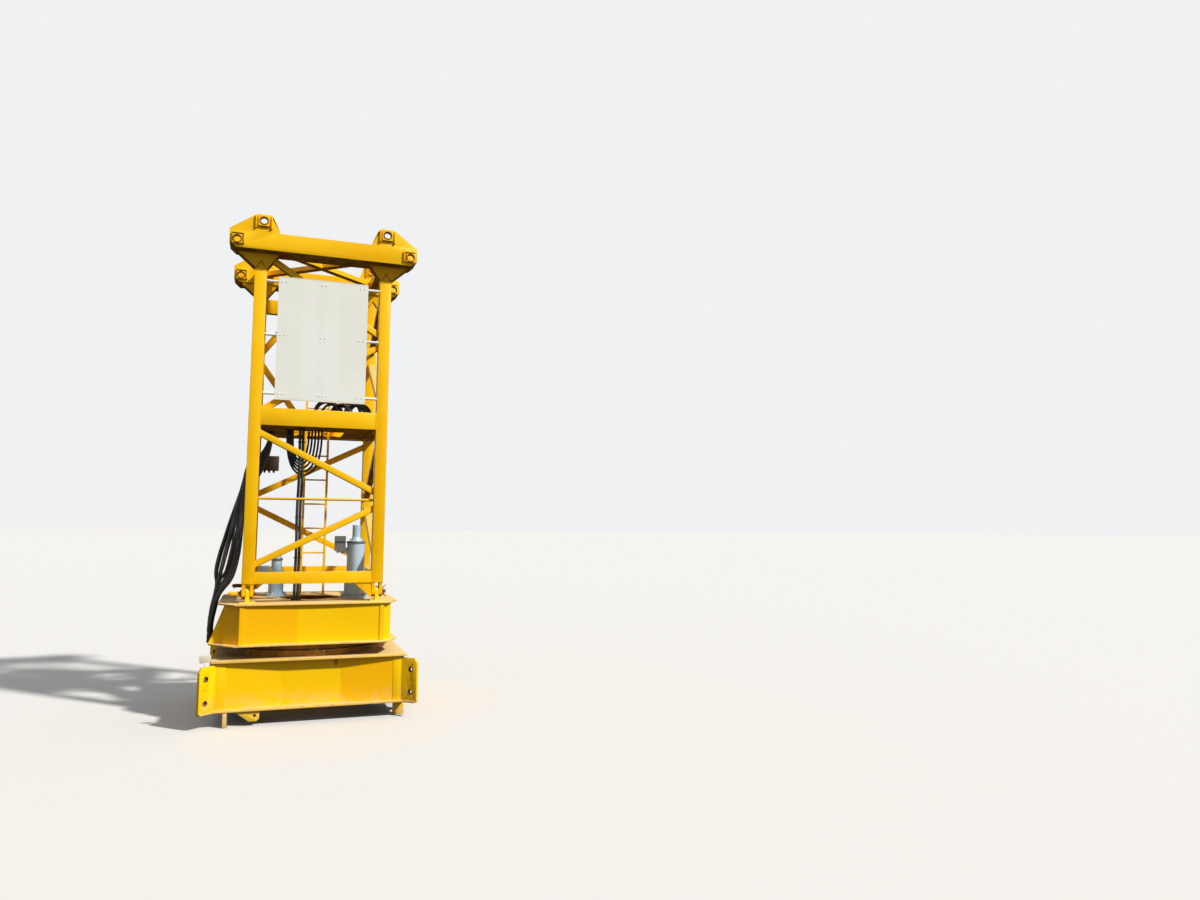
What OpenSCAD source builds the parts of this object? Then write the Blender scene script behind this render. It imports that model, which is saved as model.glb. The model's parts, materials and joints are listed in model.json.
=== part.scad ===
// Slewing unit of a tower crane, with the mast section that carries its jibs.
// A fixed ring support stands on four feet. The slewing ring turns on it, and
// the platform, mast and head above the ring turn together with it.
// Millimetres. The origin is on the ground at the slewing axis, +Z up,
// +X to the right along the front face and +Y towards the back.

/* [Ring support] */
// Half width of the support's top and bottom plates
support_half = 940; // [880:5:1000]
// Height of the support over its plates
support_h = 491; // [400:1:600]
// Height of the feet under the support
foot_h = 145; // [120:5:200]
// Thickness of the support's plates
support_plate_t = 20; // [12:1:30]
// Thickness of the support's folded webs
support_web_t = 15; // [10:1:20]
// Distance of each web's folds from its middle
support_fold_x = 285; // [200:5:360]
// Depth by which each web folds inwards
support_fold_in = 60; // [20:2:90]
// How far the diagonal corner plates reach out past the web corners
corner_reach = 177; // [130:1:230]
// Thickness of the corner plates
corner_t = 30; // [20:1:40]
// Diameter of the pin holes in the corner plates
corner_hole_d = 40; // [26:1:56]

/* [Slewing ring] */
// Outer diameter of the slewing ring's fixed half
ring_d = 1640; // [1560:5:1700]
// Radial width of the ring
ring_w = 160; // [120:5:180]
// Height of both halves of the ring together
ring_h = 125; // [90:5:160]
// Running gap between the two halves
ring_gap = 0.3; // [0.2:0.1:2]

/* [Platform] */
// Half width of the platform's webs
platform_half = 850; // [810:5:880]
// Height of the platform over its plates
platform_h = 412; // [320:1:500]
// Cut across each corner of the platform
platform_chamfer = 150; // [110:5:190]
// Thickness of the platform's plates
platform_plate_t = 15; // [10:1:25]
// Thickness of the platform's webs
platform_web_t = 12; // [8:1:16]
// How far the bottom plate's wing on the left stands out past its web
wing_out = 140; // [100:5:150]
// Diameter of the manhole in the platform's top plate
manhole_d = 640; // [560:10:680]

/* [Mast] */
// Width of the mast over its legs, the same on every side
mast_w = 1400; // [1300:10:1460]
// Width of each square leg
leg_w = 120; // [100:2:150]
// Wall of the legs
leg_wall = 10; // [6:1:16]
// Height of the mast's feet between platform and lower beams
mast_foot_h = 192; // [170:2:240]
// Height of the lower beams
lower_beam_h = 119; // [90:1:150]
// Clear height of the bay under the mid beams
lower_bay_h = 1512; // [1300:4:1700]
// Height of the mid beams
mid_beam_h = 184; // [140:2:220]
// Clear height of the bay over the mid beams
upper_bay_h = 1620; // [1560:4:1800]
// Depth of the beams behind their front faces
beam_depth = 100; // [80:2:110]
// Wall of the beams
beam_wall = 8; // [5:1:12]
// Width of the diagonal bars
brace_w = 66; // [50:1:76]
// Diameter of the pins that hold the mast's feet
mast_pin_d = 55; // [40:1:60]

/* [Head] */
// Height of the head beams
head_beam_h = 185; // [150:1:230]
// Width of the head beams over their side plates
head_beam_w = 300; // [260:2:340]
// Thickness of the head beams' side plates
cheek_t = 20; // [14:1:28]
// Height of the lugs above the head beams
lug_h = 185; // [170:1:230]
// Reach of the lugs from the middle of the head
lug_reach = 950; // [930:2:1000]
// Diameter of the pin holes in the lugs
lug_hole_d = 70; // [40:1:84]

/* [Sign board] */
// Width of the board
board_w = 915; // [700:5:1000]
// Height of the board
board_h = 1310; // [1000:10:1420]
// Thickness of the board
board_t = 5; // [3:1:10]

/* [Ladder] */
// Distance between the ladder's stiles
ladder_w = 250; // [220:5:320]
// Distance from one rung to the next
rung_pitch = 280; // [240:5:320]

/* [Machinery] */
// Diameter of the right slewing motor
motor_d_right = 190; // [150:2:220]
// Diameter of the right gearbox under its motor
gearbox_d_right = 230; // [200:2:250]
// Diameter of the smaller left slewing motor
motor_d_left = 112; // [100:2:140]
// Diameter of the left gearbox
gearbox_d_left = 160; // [144:2:180]
// Diameter of the riser cables
riser_d = 28; // [20:1:28]
// Diameter of the hanging cables
hanging_d = 34; // [20:1:36]

/* [Hidden] */

paint = "#f5b41a";
bare_steel = "#6f6257";
motor_grey = "#93a3a8";
cable_black = "#26262a";
board_white = "#eeefe6";
box_brown = "#4a382b";

// Levels, from the ground up
support_z = foot_h;
support_top = support_z + support_h;
ring_seam = support_top + ring_h / 2;
platform_z = support_top + ring_h;
platform_top = platform_z + platform_h;
leg_z = platform_top + mast_foot_h;
lower_beam_top = leg_z + lower_beam_h;
mid_beam_z = lower_beam_top + lower_bay_h;
mid_beam_top = mid_beam_z + mid_beam_h;
head_z = mid_beam_top + upper_bay_h;
head_top = head_z + head_beam_h;
lug_top = head_top + lug_h;

// Plan sizes that follow from the driving ones
mast_half = mast_w / 2;
leg_inner = mast_half - leg_w;
leg_centre = mast_half - leg_w / 2;
beam_inner = mast_half - beam_depth;
web_corner = support_half - 30;
web_fold_y = web_corner - support_fold_in;
ring_r = ring_d / 2;
ring_bore_r = ring_r - ring_w;
drum_r = ring_r - ring_w / 2;
drum_t = 16;
plate_hole_r = ring_bore_r - 20;

// Support corners and feet
corner_hole_r = corner_hole_d / 2;
corner_top_drop = 36;
corner_root = 90;
corner_chamfer = 50;
corner_hole_in = 75;
corner_hole_rise = 91;
corner_hole_pitch = 227;
vent_hole_r = 8;
ear_w = corner_t + 20;
ear_back = 12;
foot_wide = 110;
foot_thick = 45;
foot_in = 5;
foot_side = 145;
lashing_t = 25;
lashing_hole_r = 15;
lashing_start = 250;
lashing_in = 22;
lashing_l = 210;
lashing_h = 100;
lashing_toe_h = 15;
lashing_slope_l = 115;
lashing_nose = 25;
lashing_hole_in = 45;
lashing_hole_drop = 46;

// Platform: the right web stands nearer the drum than the others, and the
// plates overhang the webs
right_web_gap = 40;
platform_right = drum_r + right_web_gap;
platform_flat = platform_half - platform_chamfer;
platform_fold_x = 150;
platform_fold_in = 12;
top_front_overhang = 25;
top_left_overhang = 65;
bottom_front_overhang = 70;
right_overhang = 84;
plate_front_over = 52;
plate_side_short = 80;
plate_front_x = platform_flat + plate_front_over;
plate_side_y = platform_flat - plate_side_short;
wing_reach = platform_half + wing_out;

// Gussets that carry the wing on the left
wing_gusset_t = 12;
wing_gusset_y = 600;
wing_gusset_head = 20;
wing_gusset_drop = 34;
wing_gusset_toe = 10;
wing_gusset_in = 5;
wing_gusset_root = 1;
strip_w = 40;
strip_t = 8;
strip_root = 4;

// Mast feet: one upright lug on the platform between two cheeks under the leg
pin_r = mast_pin_d / 2;
pin_axis_z = platform_top + mast_foot_h / 2;
pin_bore_r = pin_r + 0.5;
eye_r = 55;
mast_lug_t = 40;
fork_gap = 1;
fork_inner = mast_lug_t / 2 + fork_gap;
fork_outer = leg_w / 2 - 4;
lug_pad_t = 12;
lug_pad_w = 150;
pin_collar_t = 14;
pin_collar_r = pin_r + 9;
pin_out_left = 105;
pin_out_right = 16;
pin_nose = 26;
pin_step = 6;
pin_taper = 8;
pin_in = 14;

// Haunches from the lower beams down to the feet
haunch_l = 185;
haunch_t = 16;
haunch_drop = 45;
haunch_toe = 22;

// Diagonal bars: where their middles meet the legs' middles, from the bay's ends
brace_recess = 30;
brace_end_rise = 50;
brace_apex_gap = 62;
tie_r = 13;
front_high_rise = 30;
front_low_drop = 60;
front_apex_high = 10;
front_apex_low = 45;

// Head beams
bevel_x = 60;
bevel_z = 55;
shoulder_z = 135;
top_hole_drop = 73;
outer_hole_in = 74;
outer_hole_rise = 80;
lug_slope_x = 255;
lug_top_w = 138;
lug_foot_w = 94;
lug_neck_drop = 55;
top_hole_x = lug_reach - lug_slope_x - lug_top_w / 2;
pad_w = 112;
pad_t = 25;
outer_pad_w = 92;
pad_rib_w = 12;
pad_rib_gap = 14;
pad_rib_over = 24;
head_bottom_t = 15;
lug_hole_r = lug_hole_d / 2;
gusset_t = 12;
gusset_drop = 150;
gusset_side = 110;
gusset_out = 170;
notch_h = 75;
notch_in = 12;
plan_bar_w = 80;
plan_bar_h = 60;
side_beam_w = 110;
side_beam_rise = 40;

// Upper bay at the back: a tie beam under the head, and steep bars from a
// point on each leg up to the tie and down to the mid beam
back_tie_h = 163;
back_tie_w = 80;
back_tie_drop = 20;
back_tie_top = head_z - gusset_drop - back_tie_drop;
back_tie_z = back_tie_top - back_tie_h;
back_node_share = 0.577;
back_node_z = mid_beam_top + back_node_share * (back_tie_z - mid_beam_top);
back_node_gap = 113;
back_high_x = 270;
back_low_x = 136;

// Board and rails
board_x = -2;
board_rise = 85;
rail_r = 15;
rail_weld = 3;
rail_share = [0.05, 0.523, 0.958];

// Ladder
ladder_x = 30;
ladder_y = 375;
stile_w = 25;
rung_r = 9;
ladder_top_gap = 100;
ladder_foot_gap = 200;
bracket_w = 30;
bracket_t = 8;

// Deck and its hatch
deck_t = 12;
deck_rise = 14;
hatch_x = 300;
hatch_y0 = -100;
hatch_y1 = 450;

// Slewing drives
drive_right_gap = 27;
drive_left_gap = 160;
drive_right = [beam_inner - drive_right_gap - gearbox_d_right / 2, -200];
drive_left = [-beam_inner + drive_left_gap + gearbox_d_left / 2, 250];
drive_flange_h = 30;
drive_flange_w = 36;
gearbox_h = 250;
motor_h_right = 330;
motor_h_left = 130;
cover_out = 9;
cover_h = 22;
shoulder_share = 0.68;
shoulder_h = 46;
cap_share = 0.46;
cap_h_right = 132;
cap_h_left = 8;
terminal_w = 110;
terminal_d = 100;
terminal_h = 160;
terminal_rise_right = 65;
terminal_rise_left = -73;
neck_l = 24;
neck_w = 50;
neck_h = 68;
neck_lap = 15;

// Junction box on the back left leg
box_w = 205;
box_d = 80;
box_h = 170;
box_rise = 1238;
box_z = leg_z + box_rise;

// Riser cables through a gland on the platform's top plate
riser_x = -165;
riser_y = -390;
riser_pitch = riser_d + 4;
gland_w = 100;
gland_h = 45;

// Cable loops under the deck: half of one loop, as shares of its width and drop
loop_profile = [
    [1.00, 0.00], [1.00, 0.15], [0.98, 0.32], [0.93, 0.50], [0.83, 0.67],
    [0.67, 0.82], [0.46, 0.92], [0.23, 0.98], [0.00, 1.00]
];
loop_d = 22;
loop_count = 5;
loop_x = -130;
loop_x_step = -9;
loop_half_w = 180;
loop_w_step = 24;
loop_drop = 500;
loop_drop_step = 42;
loop_y = -260;
loop_y_step = 30;

// Hanging cables: from the deck over the left side's diagonal bar, then down
// outside past the platform's edge to their plugs. Each point is [x, share],
// where the share runs from 0 at the deck to 1 at the bar and to 2 at the plug.
hanging_inside = [
    [-480, 0], [-480, 0.10], [-490, 0.25], [-510, 0.42], [-543, 0.60], [-586, 0.77], [-634, 0.90]
];
hanging_outside = [
    [-708, 1.03], [-731, 1.08], [-760, 1.15], [-794, 1.24], [-832, 1.34], [-871, 1.45],
    [-908, 1.56], [-940, 1.67], [-966, 1.78], [-987, 1.87], [-1008, 1.94], [-1018, 2.00]
];
// How far each point outside takes part in the strands' fanning out
hanging_spread = [0, 0.06, 0.20, 0.42, 0.66, 0.86, 0.97, 0.85, 0.15, 0.05, 0, 0];
hanging_fan = [120, 20, 147, -40, 90, 0, 135, -62, 60, 105, -20];
hanging_count = len(hanging_fan);
hanging_y = 62;
hanging_pitch = 44;
hanging_lean = 35;
hanging_seat = 1.5;
hanging_end_z = 815;
hanging_end_step = 120;
plug_r = 23;
plug_h = 110;

// One of four like pieces, turned about the slewing axis
module turned(quarter) {
    rotate([0, 0, 90 * quarter]) children();
}

// An upright plate in the X-Z plane, from y0 backwards
module upright(y0, t) {
    translate([0, y0 + t, 0]) rotate([90, 0, 0]) linear_extrude(height = t) children();
}

// Points of a ring of a swept tube that lies in a plane across Y
function tube_ring(p, dir, r, sides) = [
    for (k = [0 : sides - 1])
        let (a = 360 * k / sides, side = r * cos(a))
            [p[0] - dir[1] * side, p[1] + r * sin(a), p[2] + dir[0] * side]
];

function unit(v) = v / norm(v);

// A tube along points [x, z] at a fixed y, as one closed polyhedron
module flat_tube(path, y, r, sides = 8) {
    n = len(path);
    rings = [
        for (i = [0 : n - 1])
            let (dir = unit(path[min(i + 1, n - 1)] - path[max(i - 1, 0)]))
                tube_ring([path[i][0], y, path[i][1]], dir, r, sides)
    ];
    points = [for (ring = rings) for (p = ring) p];
    walls = [
        for (i = [0 : n - 2])
            for (k = [0 : sides - 1])
                let (k2 = (k + 1) % sides)
                    [i * sides + k, i * sides + k2, (i + 1) * sides + k2, (i + 1) * sides + k]
    ];
    start_cap = [[for (k = [sides - 1 : -1 : 0]) k]];
    end_cap = [[for (k = [0 : sides - 1]) (n - 1) * sides + k]];
    polyhedron(points = points, faces = concat(walls, start_cap, end_cap), convexity = 8);
}

// Outline of the four folded webs of the support
module support_outline() {
    for (q = [0 : 3]) turned(q)
        polygon([
            [0, 0], [-web_corner, -web_corner], [-support_fold_x, -web_fold_y],
            [support_fold_x, -web_fold_y], [web_corner, -web_corner]
        ]);
}

module support_bottom_plate() {
    tip = sqrt(2) * web_corner + corner_reach - ear_back;
    color(paint) translate([0, 0, support_z]) linear_extrude(height = support_plate_t)
        difference() {
            union() {
                square(2 * support_half, center = true);
                for (q = [0 : 3]) rotate([0, 0, 45 + 90 * q])
                    translate([0, -ear_w / 2]) square([tip, ear_w]);
            }
            circle(r = plate_hole_r, $fn = 96);
        }
}

module support_top_plate() {
    color(paint) translate([0, 0, support_top - support_plate_t])
        linear_extrude(height = support_plate_t) difference() {
            square(2 * support_half, center = true);
            circle(r = plate_hole_r, $fn = 96);
        }
}

// One folded web between the plates, mitred where it meets its neighbours
module support_web(quarter) {
    e = web_corner;
    t = support_web_t;
    y = web_fold_y;
    color(paint) turned(quarter) translate([0, 0, support_z + support_plate_t])
        linear_extrude(height = support_h - 2 * support_plate_t)
            polygon([
                [-e, -e], [-support_fold_x, -y], [support_fold_x, -y], [e, -e],
                [e - t, -e + t], [support_fold_x, -y + t], [-support_fold_x, -y + t],
                [-e + t, -e + t]
            ]);
}

module support_drum() {
    color(paint) translate([0, 0, support_z + support_plate_t])
        linear_extrude(height = support_h - 2 * support_plate_t) difference() {
            circle(r = drum_r, $fn = 96);
            circle(r = drum_r - drum_t, $fn = 96);
        }
}

// Four plates that stick out along the diagonals, each with its pin holes
module corner_plates() {
    start = sqrt(2) * web_corner - corner_root;
    tip = sqrt(2) * web_corner + corner_reach;
    z0 = support_z + support_plate_t;
    z1 = support_top - corner_top_drop;
    x_hole = tip - corner_hole_in;
    z_hole = z0 + corner_hole_rise;
    color(paint) difference() {
        for (q = [0 : 3]) rotate([0, 0, 45 + 90 * q]) upright(-corner_t / 2, corner_t)
            difference() {
                polygon([
                    [start, z0], [tip, z0], [tip, z1 - corner_chamfer],
                    [tip - corner_chamfer * 0.6, z1], [start, z1]
                ]);
                for (i = [0, 1])
                    translate([x_hole, z_hole + i * corner_hole_pitch])
                        circle(r = corner_hole_r, $fn = 48);
                translate([x_hole, z_hole + corner_hole_pitch / 2]) circle(r = vent_hole_r, $fn = 32);
            }
        translate([0, 0, support_z]) linear_extrude(height = support_h) support_outline();
    }
}

module foot_plates() {
    color(paint) for (q = [0 : 3]) turned(q)
        translate([-support_half + foot_side - foot_thick / 2, -support_half + foot_in, 0])
            cube([foot_thick, foot_wide, foot_h]);
}

// Fish-shaped lugs under the support's edges, for a chain or a tie
module lashing_lugs() {
    z1 = support_z;
    z0 = z1 - lashing_h;
    x0 = -support_half + lashing_start;
    x1 = x0 + lashing_l;
    color(paint) for (q = [0 : 3]) turned(q)
        upright(-support_half + lashing_in, lashing_t)
            difference() {
                polygon([
                    [x0, z1], [x0, z1 - lashing_toe_h], [x0 + lashing_slope_l, z0],
                    [x1 - lashing_nose, z0], [x1, z0 + lashing_nose], [x1, z1]
                ]);
                translate([x1 - lashing_hole_in, z1 - lashing_hole_drop])
                    circle(r = lashing_hole_r, $fn = 32);
            }
}

module ring_half(z0, z1, r) {
    color(bare_steel) translate([0, 0, z0]) linear_extrude(height = z1 - z0) difference() {
        circle(r = r, $fn = 120);
        circle(r = ring_bore_r, $fn = 120);
    }
}

module slewing_ring_fixed() {
    ring_half(support_top, ring_seam, ring_r);
}

module slewing_ring_rotating() {
    ring_half(ring_seam + ring_gap, platform_z, ring_r - 15);
}

// Outline of a plate of the platform, with its front and back corners cut
module platform_plate(front, left, right) {
    polygon([
        [-plate_front_x, -front], [plate_front_x, -front], [right, -plate_side_y],
        [right, plate_side_y], [plate_front_x, front], [-plate_front_x, front],
        [-left, plate_side_y], [-left, -plate_side_y]
    ]);
}

module platform_bottom_plate() {
    color(paint) translate([0, 0, platform_z]) linear_extrude(height = platform_plate_t)
        difference() {
            platform_plate(platform_half + bottom_front_overhang, wing_reach,
                platform_right + right_overhang);
            circle(r = plate_hole_r, $fn = 96);
        }
}

module platform_top_plate() {
    color(paint) translate([0, 0, platform_top - platform_plate_t])
        linear_extrude(height = platform_plate_t) difference() {
            platform_plate(platform_half + top_front_overhang, platform_half + top_left_overhang,
                platform_right + right_overhang);
            circle(r = manhole_d / 2, $fn = 96);
        }
}

// Outer line of the four webs, seen from above. Each web has five points: its
// corner cut, then its long side with two slight folds. It starts at the front
// web and runs on to the right, back and left ones.
platform_line = let (h = platform_half, f = platform_flat, r = platform_right,
    u = platform_fold_x, v = platform_fold_in) [
    [-h, -f], [-f, -h], [-u, v - h], [u, v - h],
    [f, -h], [r, r - f - h], [r - v, -u], [r - v, u],
    [r, h + f - r], [f, h], [u, h - v], [-u, h - v],
    [-f, h], [-h, f], [v - h, u], [v - h, -u]
];

// The point inside a corner of a closed line, at the same distance t from both sides
function inside(line, i, t) = let (
    n = len(line),
    a = unit(line[i % n] - line[(i + n - 1) % n]),
    b = unit(line[(i + 1) % n] - line[i % n]),
    across = [-a[1] - b[1], a[0] + b[0]]
) line[i % n] + across * t / (1 + a * b);

// One web of the platform: a bent plate over a corner cut and a long side,
// mitred where it meets its neighbours
module platform_web(quarter) {
    first = 4 * quarter;
    n = len(platform_line);
    web_space() polygon(concat(
        [for (i = [first : first + 4]) platform_line[i % n]],
        [for (i = [first + 4 : -1 : first]) inside(platform_line, i, platform_web_t)]
    ));
}

// Raises an outline between the platform's two plates
module web_space() {
    color(paint) translate([0, 0, platform_z + platform_plate_t])
        linear_extrude(height = platform_h - 2 * platform_plate_t) children();
}

// The front web has a stiffening strip at each end of its long side
module platform_web_front() {
    x = platform_flat - strip_w;
    y = -platform_half;
    y_strip = y + platform_fold_in * strip_w / (platform_flat - platform_fold_x);
    platform_web(0);
    web_space() for (side = [0, 1]) mirror([side, 0])
        polygon([
            [x, y_strip + strip_root], [x, y - strip_t], [platform_flat, y - strip_t],
            [platform_flat, y], [platform_flat - strip_root, y + strip_root]
        ]);
}

// The left web has gussets that stand on the bottom plate's wing
module platform_web_left() {
    x = -platform_half + platform_fold_in + wing_gusset_root;
    z0 = platform_z + platform_plate_t;
    z1 = platform_top - wing_gusset_drop;
    out = -wing_reach + wing_gusset_in;
    platform_web(3);
    color(paint) for (k = [-1 : 1])
        upright(k * wing_gusset_y - wing_gusset_t / 2, wing_gusset_t)
            polygon([[x, z0], [x, z1], [x - wing_gusset_head, z1], [out, z0 + wing_gusset_toe], [out, z0]]);
}

module platform_drum() {
    color(paint) translate([0, 0, platform_z + platform_plate_t])
        linear_extrude(height = platform_h - 2 * platform_plate_t) difference() {
            circle(r = drum_r, $fn = 96);
            circle(r = drum_r - drum_t, $fn = 96);
        }
}

// Places something at one leg, mirrored from the front left one
module at_leg(mx, my) {
    mirror([mx, 0, 0]) mirror([0, my, 0]) translate([-leg_centre, -leg_centre, 0]) children();
}

module mast_lug() {
    difference() {
        union() {
            translate([-lug_pad_w / 2, -lug_pad_w / 2, platform_top])
                cube([lug_pad_w, lug_pad_w, lug_pad_t]);
            translate([-mast_lug_t / 2, -eye_r, platform_top])
                cube([mast_lug_t, 2 * eye_r, pin_axis_z - platform_top]);
            translate([-mast_lug_t / 2, 0, pin_axis_z])
                rotate([0, 90, 0]) cylinder(r = eye_r, h = mast_lug_t, $fn = 48);
        }
        translate([-mast_lug_t, 0, pin_axis_z])
            rotate([0, 90, 0]) cylinder(r = pin_bore_r, h = 2 * mast_lug_t, $fn = 48);
    }
}

module mast_lugs() {
    color(paint) for (mx = [0, 1]) for (my = [0, 1]) at_leg(mx, my) mast_lug();
}

// A pin with a collar against the outer cheek and a tapered nose
module mast_pin(out) {
    translate([-fork_outer, 0, pin_axis_z]) rotate([0, 90, 0]) {
        translate([0, 0, -out]) cylinder(r = pin_r - pin_step, h = out, $fn = 40);
        translate([0, 0, -out - pin_nose])
            cylinder(r1 = pin_r - pin_step - pin_taper, r2 = pin_r - pin_step, h = pin_nose, $fn = 40);
        translate([0, 0, -pin_collar_t]) cylinder(r = pin_collar_r, h = pin_collar_t, $fn = 40);
        cylinder(r = pin_r, h = 2 * fork_outer + pin_in, $fn = 40);
    }
}

// The two pins on the left are longer than those on the right
module mast_pins() {
    color(bare_steel) for (my = [0, 1]) {
        at_leg(0, my) mast_pin(pin_out_left);
        at_leg(1, my) mast_pin(pin_out_right);
    }
}

// A square tube, closed at its foot, with two cheeks for the pin
module leg(mx, my) {
    cheek = fork_outer - fork_inner;
    color(paint) at_leg(mx, my)
        difference() {
            union() {
                difference() {
                    translate([-leg_w / 2, -leg_w / 2, leg_z]) cube([leg_w, leg_w, head_z - leg_z]);
                    translate([-leg_w / 2 + leg_wall, -leg_w / 2 + leg_wall, leg_z + 2 * leg_wall])
                        cube([leg_w - 2 * leg_wall, leg_w - 2 * leg_wall, head_z - leg_z]);
                }
                for (side = [-1, 1])
                    translate([side * (fork_inner + cheek / 2) - cheek / 2, 0, 0]) {
                        translate([0, -eye_r, pin_axis_z]) cube([cheek, 2 * eye_r, leg_z - pin_axis_z]);
                        translate([0, 0, pin_axis_z])
                            rotate([0, 90, 0]) cylinder(r = eye_r, h = cheek, $fn = 48);
                    }
            }
            translate([-leg_w, 0, pin_axis_z])
                rotate([0, 90, 0]) cylinder(r = pin_bore_r, h = 2 * leg_w, $fn = 48);
        }
}

// A box beam between two legs, open at its ends against them
module beam(quarter, z0, h) {
    color(paint) turned(quarter) translate([-leg_inner, -mast_half, z0]) difference() {
        cube([2 * leg_inner, beam_depth, h]);
        translate([-1, beam_wall, beam_wall])
            cube([2 * leg_inner + 2, beam_depth - 2 * beam_wall, h - 2 * beam_wall]);
    }
}

// The beams at front and back have a haunch down to the foot on their right
module haunch_beam(quarter) {
    inner = leg_centre - fork_outer;
    low = pin_axis_z - haunch_drop;
    beam(quarter, leg_z, lower_beam_h);
    color(paint) turned(quarter) upright(-leg_centre - eye_r + haunch_t / 2, haunch_t)
        polygon([[inner - haunch_l, leg_z], [inner, leg_z], [inner, low], [inner - haunch_toe, low]]);
}

module mid_deck() {
    color(paint) translate([0, 0, mid_beam_z + deck_rise]) linear_extrude(height = deck_t)
        difference() {
            square(2 * beam_inner, center = true);
            for (mx = [-1, 1]) for (my = [-1, 1])
                translate([mx * leg_centre, my * leg_centre]) square(leg_w, center = true);
            translate([-hatch_x, hatch_y0]) square([2 * hatch_x, hatch_y1 - hatch_y0]);
        }
}

// Outline of a bar from a to b in the X-Z plane, with more at both ends
module bar_outline(a, b, over) {
    run = b - a;
    translate(a) rotate(atan2(run[1], run[0]))
        translate([-over, -brace_w / 2]) square([norm(run) + 2 * over, brace_w]);
}

// The clear space of the lower bay between the legs and beams
module lower_bay_space() {
    translate([-leg_inner, lower_beam_top]) square([2 * leg_inner, lower_bay_h]);
}

// The clear space of the upper bay, with the funnels' slopes cut off its top
module upper_bay_space() {
    x = leg_inner - gusset_side;
    z = head_z - gusset_drop;
    polygon([
        [-leg_inner, mid_beam_top], [leg_inner, mid_beam_top], [leg_inner, z],
        [x, head_z], [-x, head_z], [-leg_inner, z]
    ]);
}

// Two bars that rise and fall from the right leg, given by their heights at the
// middle of the left and right leg
module diagonals(high, low) {
    bar_outline([-leg_centre, high[0]], [leg_centre, high[1]], 0);
    bar_outline([-leg_centre, low[0]], [leg_centre, low[1]], 0);
}

module lower_diagonals() {
    z = (lower_beam_top + mid_beam_z) / 2;
    intersection() {
        lower_bay_space();
        diagonals([mid_beam_z - brace_end_rise, z + brace_apex_gap],
            [lower_beam_top + brace_end_rise, z - brace_apex_gap]);
    }
}

module upper_diagonals() {
    z = (mid_beam_top + head_z) / 2;
    intersection() {
        upper_bay_space();
        diagonals([head_z - gusset_drop - brace_end_rise, z + brace_apex_gap],
            [mid_beam_top + brace_end_rise, z - brace_apex_gap]);
    }
}

// The front's upper bars are flatter and end on the funnel and the mid beam
module front_upper_diagonals() {
    z = (mid_beam_top + head_z) / 2;
    intersection() {
        upper_bay_space();
        diagonals([head_z + front_high_rise, z + front_apex_high],
            [mid_beam_top - front_low_drop, z - front_apex_low]);
    }
}

// The back's upper bars form a diamond with its points cut off
module back_upper_diagonals() {
    intersection() {
        translate([-leg_inner, mid_beam_top]) square([2 * leg_inner, back_tie_z - mid_beam_top]);
        for (side = [-1, 1]) {
            bar_outline([side * leg_inner, back_node_z + back_node_gap],
                [side * back_high_x, back_tie_z], brace_w);
            bar_outline([side * leg_inner, back_node_z - back_node_gap],
                [side * back_low_x, mid_beam_top], brace_w);
        }
    }
}

// Bars that lie behind the legs' outer faces
module brace_bars() {
    upright(-mast_half + brace_recess, brace_w) children();
}

module side_bracing() {
    brace_bars() lower_diagonals();
    brace_bars() upper_diagonals();
}

// A thin tube across the front, level with the meeting point of the lower bay
module bracing_front() {
    z = (lower_beam_top + mid_beam_z) / 2;
    color(paint) {
        brace_bars() lower_diagonals();
        brace_bars() front_upper_diagonals();
        translate([-leg_inner, -mast_half + brace_recess + brace_w / 2, z])
            rotate([0, 90, 0]) cylinder(r = tie_r, h = 2 * leg_inner, $fn = 24);
    }
}

module bracing_right() {
    color(paint) turned(1) side_bracing();
}

module bracing_back() {
    color(paint) turned(2) {
        brace_bars() lower_diagonals();
        brace_bars() back_upper_diagonals();
        translate([-leg_inner, -leg_centre - back_tie_w / 2, back_tie_z])
            cube([2 * leg_inner, back_tie_w, back_tie_h]);
    }
}

// The left side meets at the back leg too, so it mirrors the right side
module bracing_left() {
    color(paint) mirror([1, 0, 0]) turned(1) side_bracing();
}

// Outline of a head beam's side plate with its two lugs, seen from the front
function lug_points() = [
    [lug_reach - bevel_x, head_z],
    [lug_reach, head_z + bevel_z],
    [lug_reach, head_z + bevel_z + shoulder_z],
    [lug_reach - lug_slope_x, lug_top],
    [lug_reach - lug_slope_x - lug_top_w, lug_top],
    [lug_reach - lug_slope_x - lug_top_w - lug_foot_w / 2, lug_top - lug_neck_drop],
    [lug_reach - lug_slope_x - lug_top_w - lug_foot_w, head_top]
];

function mirrored(points) = [for (i = [len(points) - 1 : -1 : 0]) [-points[i][0], points[i][1]]];

module lug_hole_circles() {
    for (side = [-1, 1]) {
        translate([side * top_hole_x, lug_top - top_hole_drop])
            circle(r = lug_hole_r, $fn = 64);
        translate([side * (lug_reach - outer_hole_in), head_z + outer_hole_rise])
            circle(r = lug_hole_r, $fn = 64);
    }
}

// Raised square pads round the pin holes. The top ones have a rib on both sides,
// the outer ones an angled rib over them and on their inner side.
module lug_pads() {
    top_half = pad_w / 2;
    half = outer_pad_w / 2;
    far = half + pad_rib_gap + pad_rib_w;
    for (side = [0, 1]) mirror([side, 0]) {
        translate([top_hole_x, lug_top - top_hole_drop]) {
            square(pad_w, center = true);
            for (k = [0, 1]) mirror([k, 0])
                translate([top_half + pad_rib_gap, -top_half - pad_rib_over])
                    square([pad_rib_w, pad_w + pad_rib_over]);
        }
        translate([lug_reach - outer_hole_in, head_z + outer_hole_rise]) {
            square(outer_pad_w, center = true);
            translate([-far, -half]) square([pad_rib_w, half + far]);
            translate([-far, far - pad_rib_w]) square([half + far, pad_rib_w]);
        }
    }
}

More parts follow.
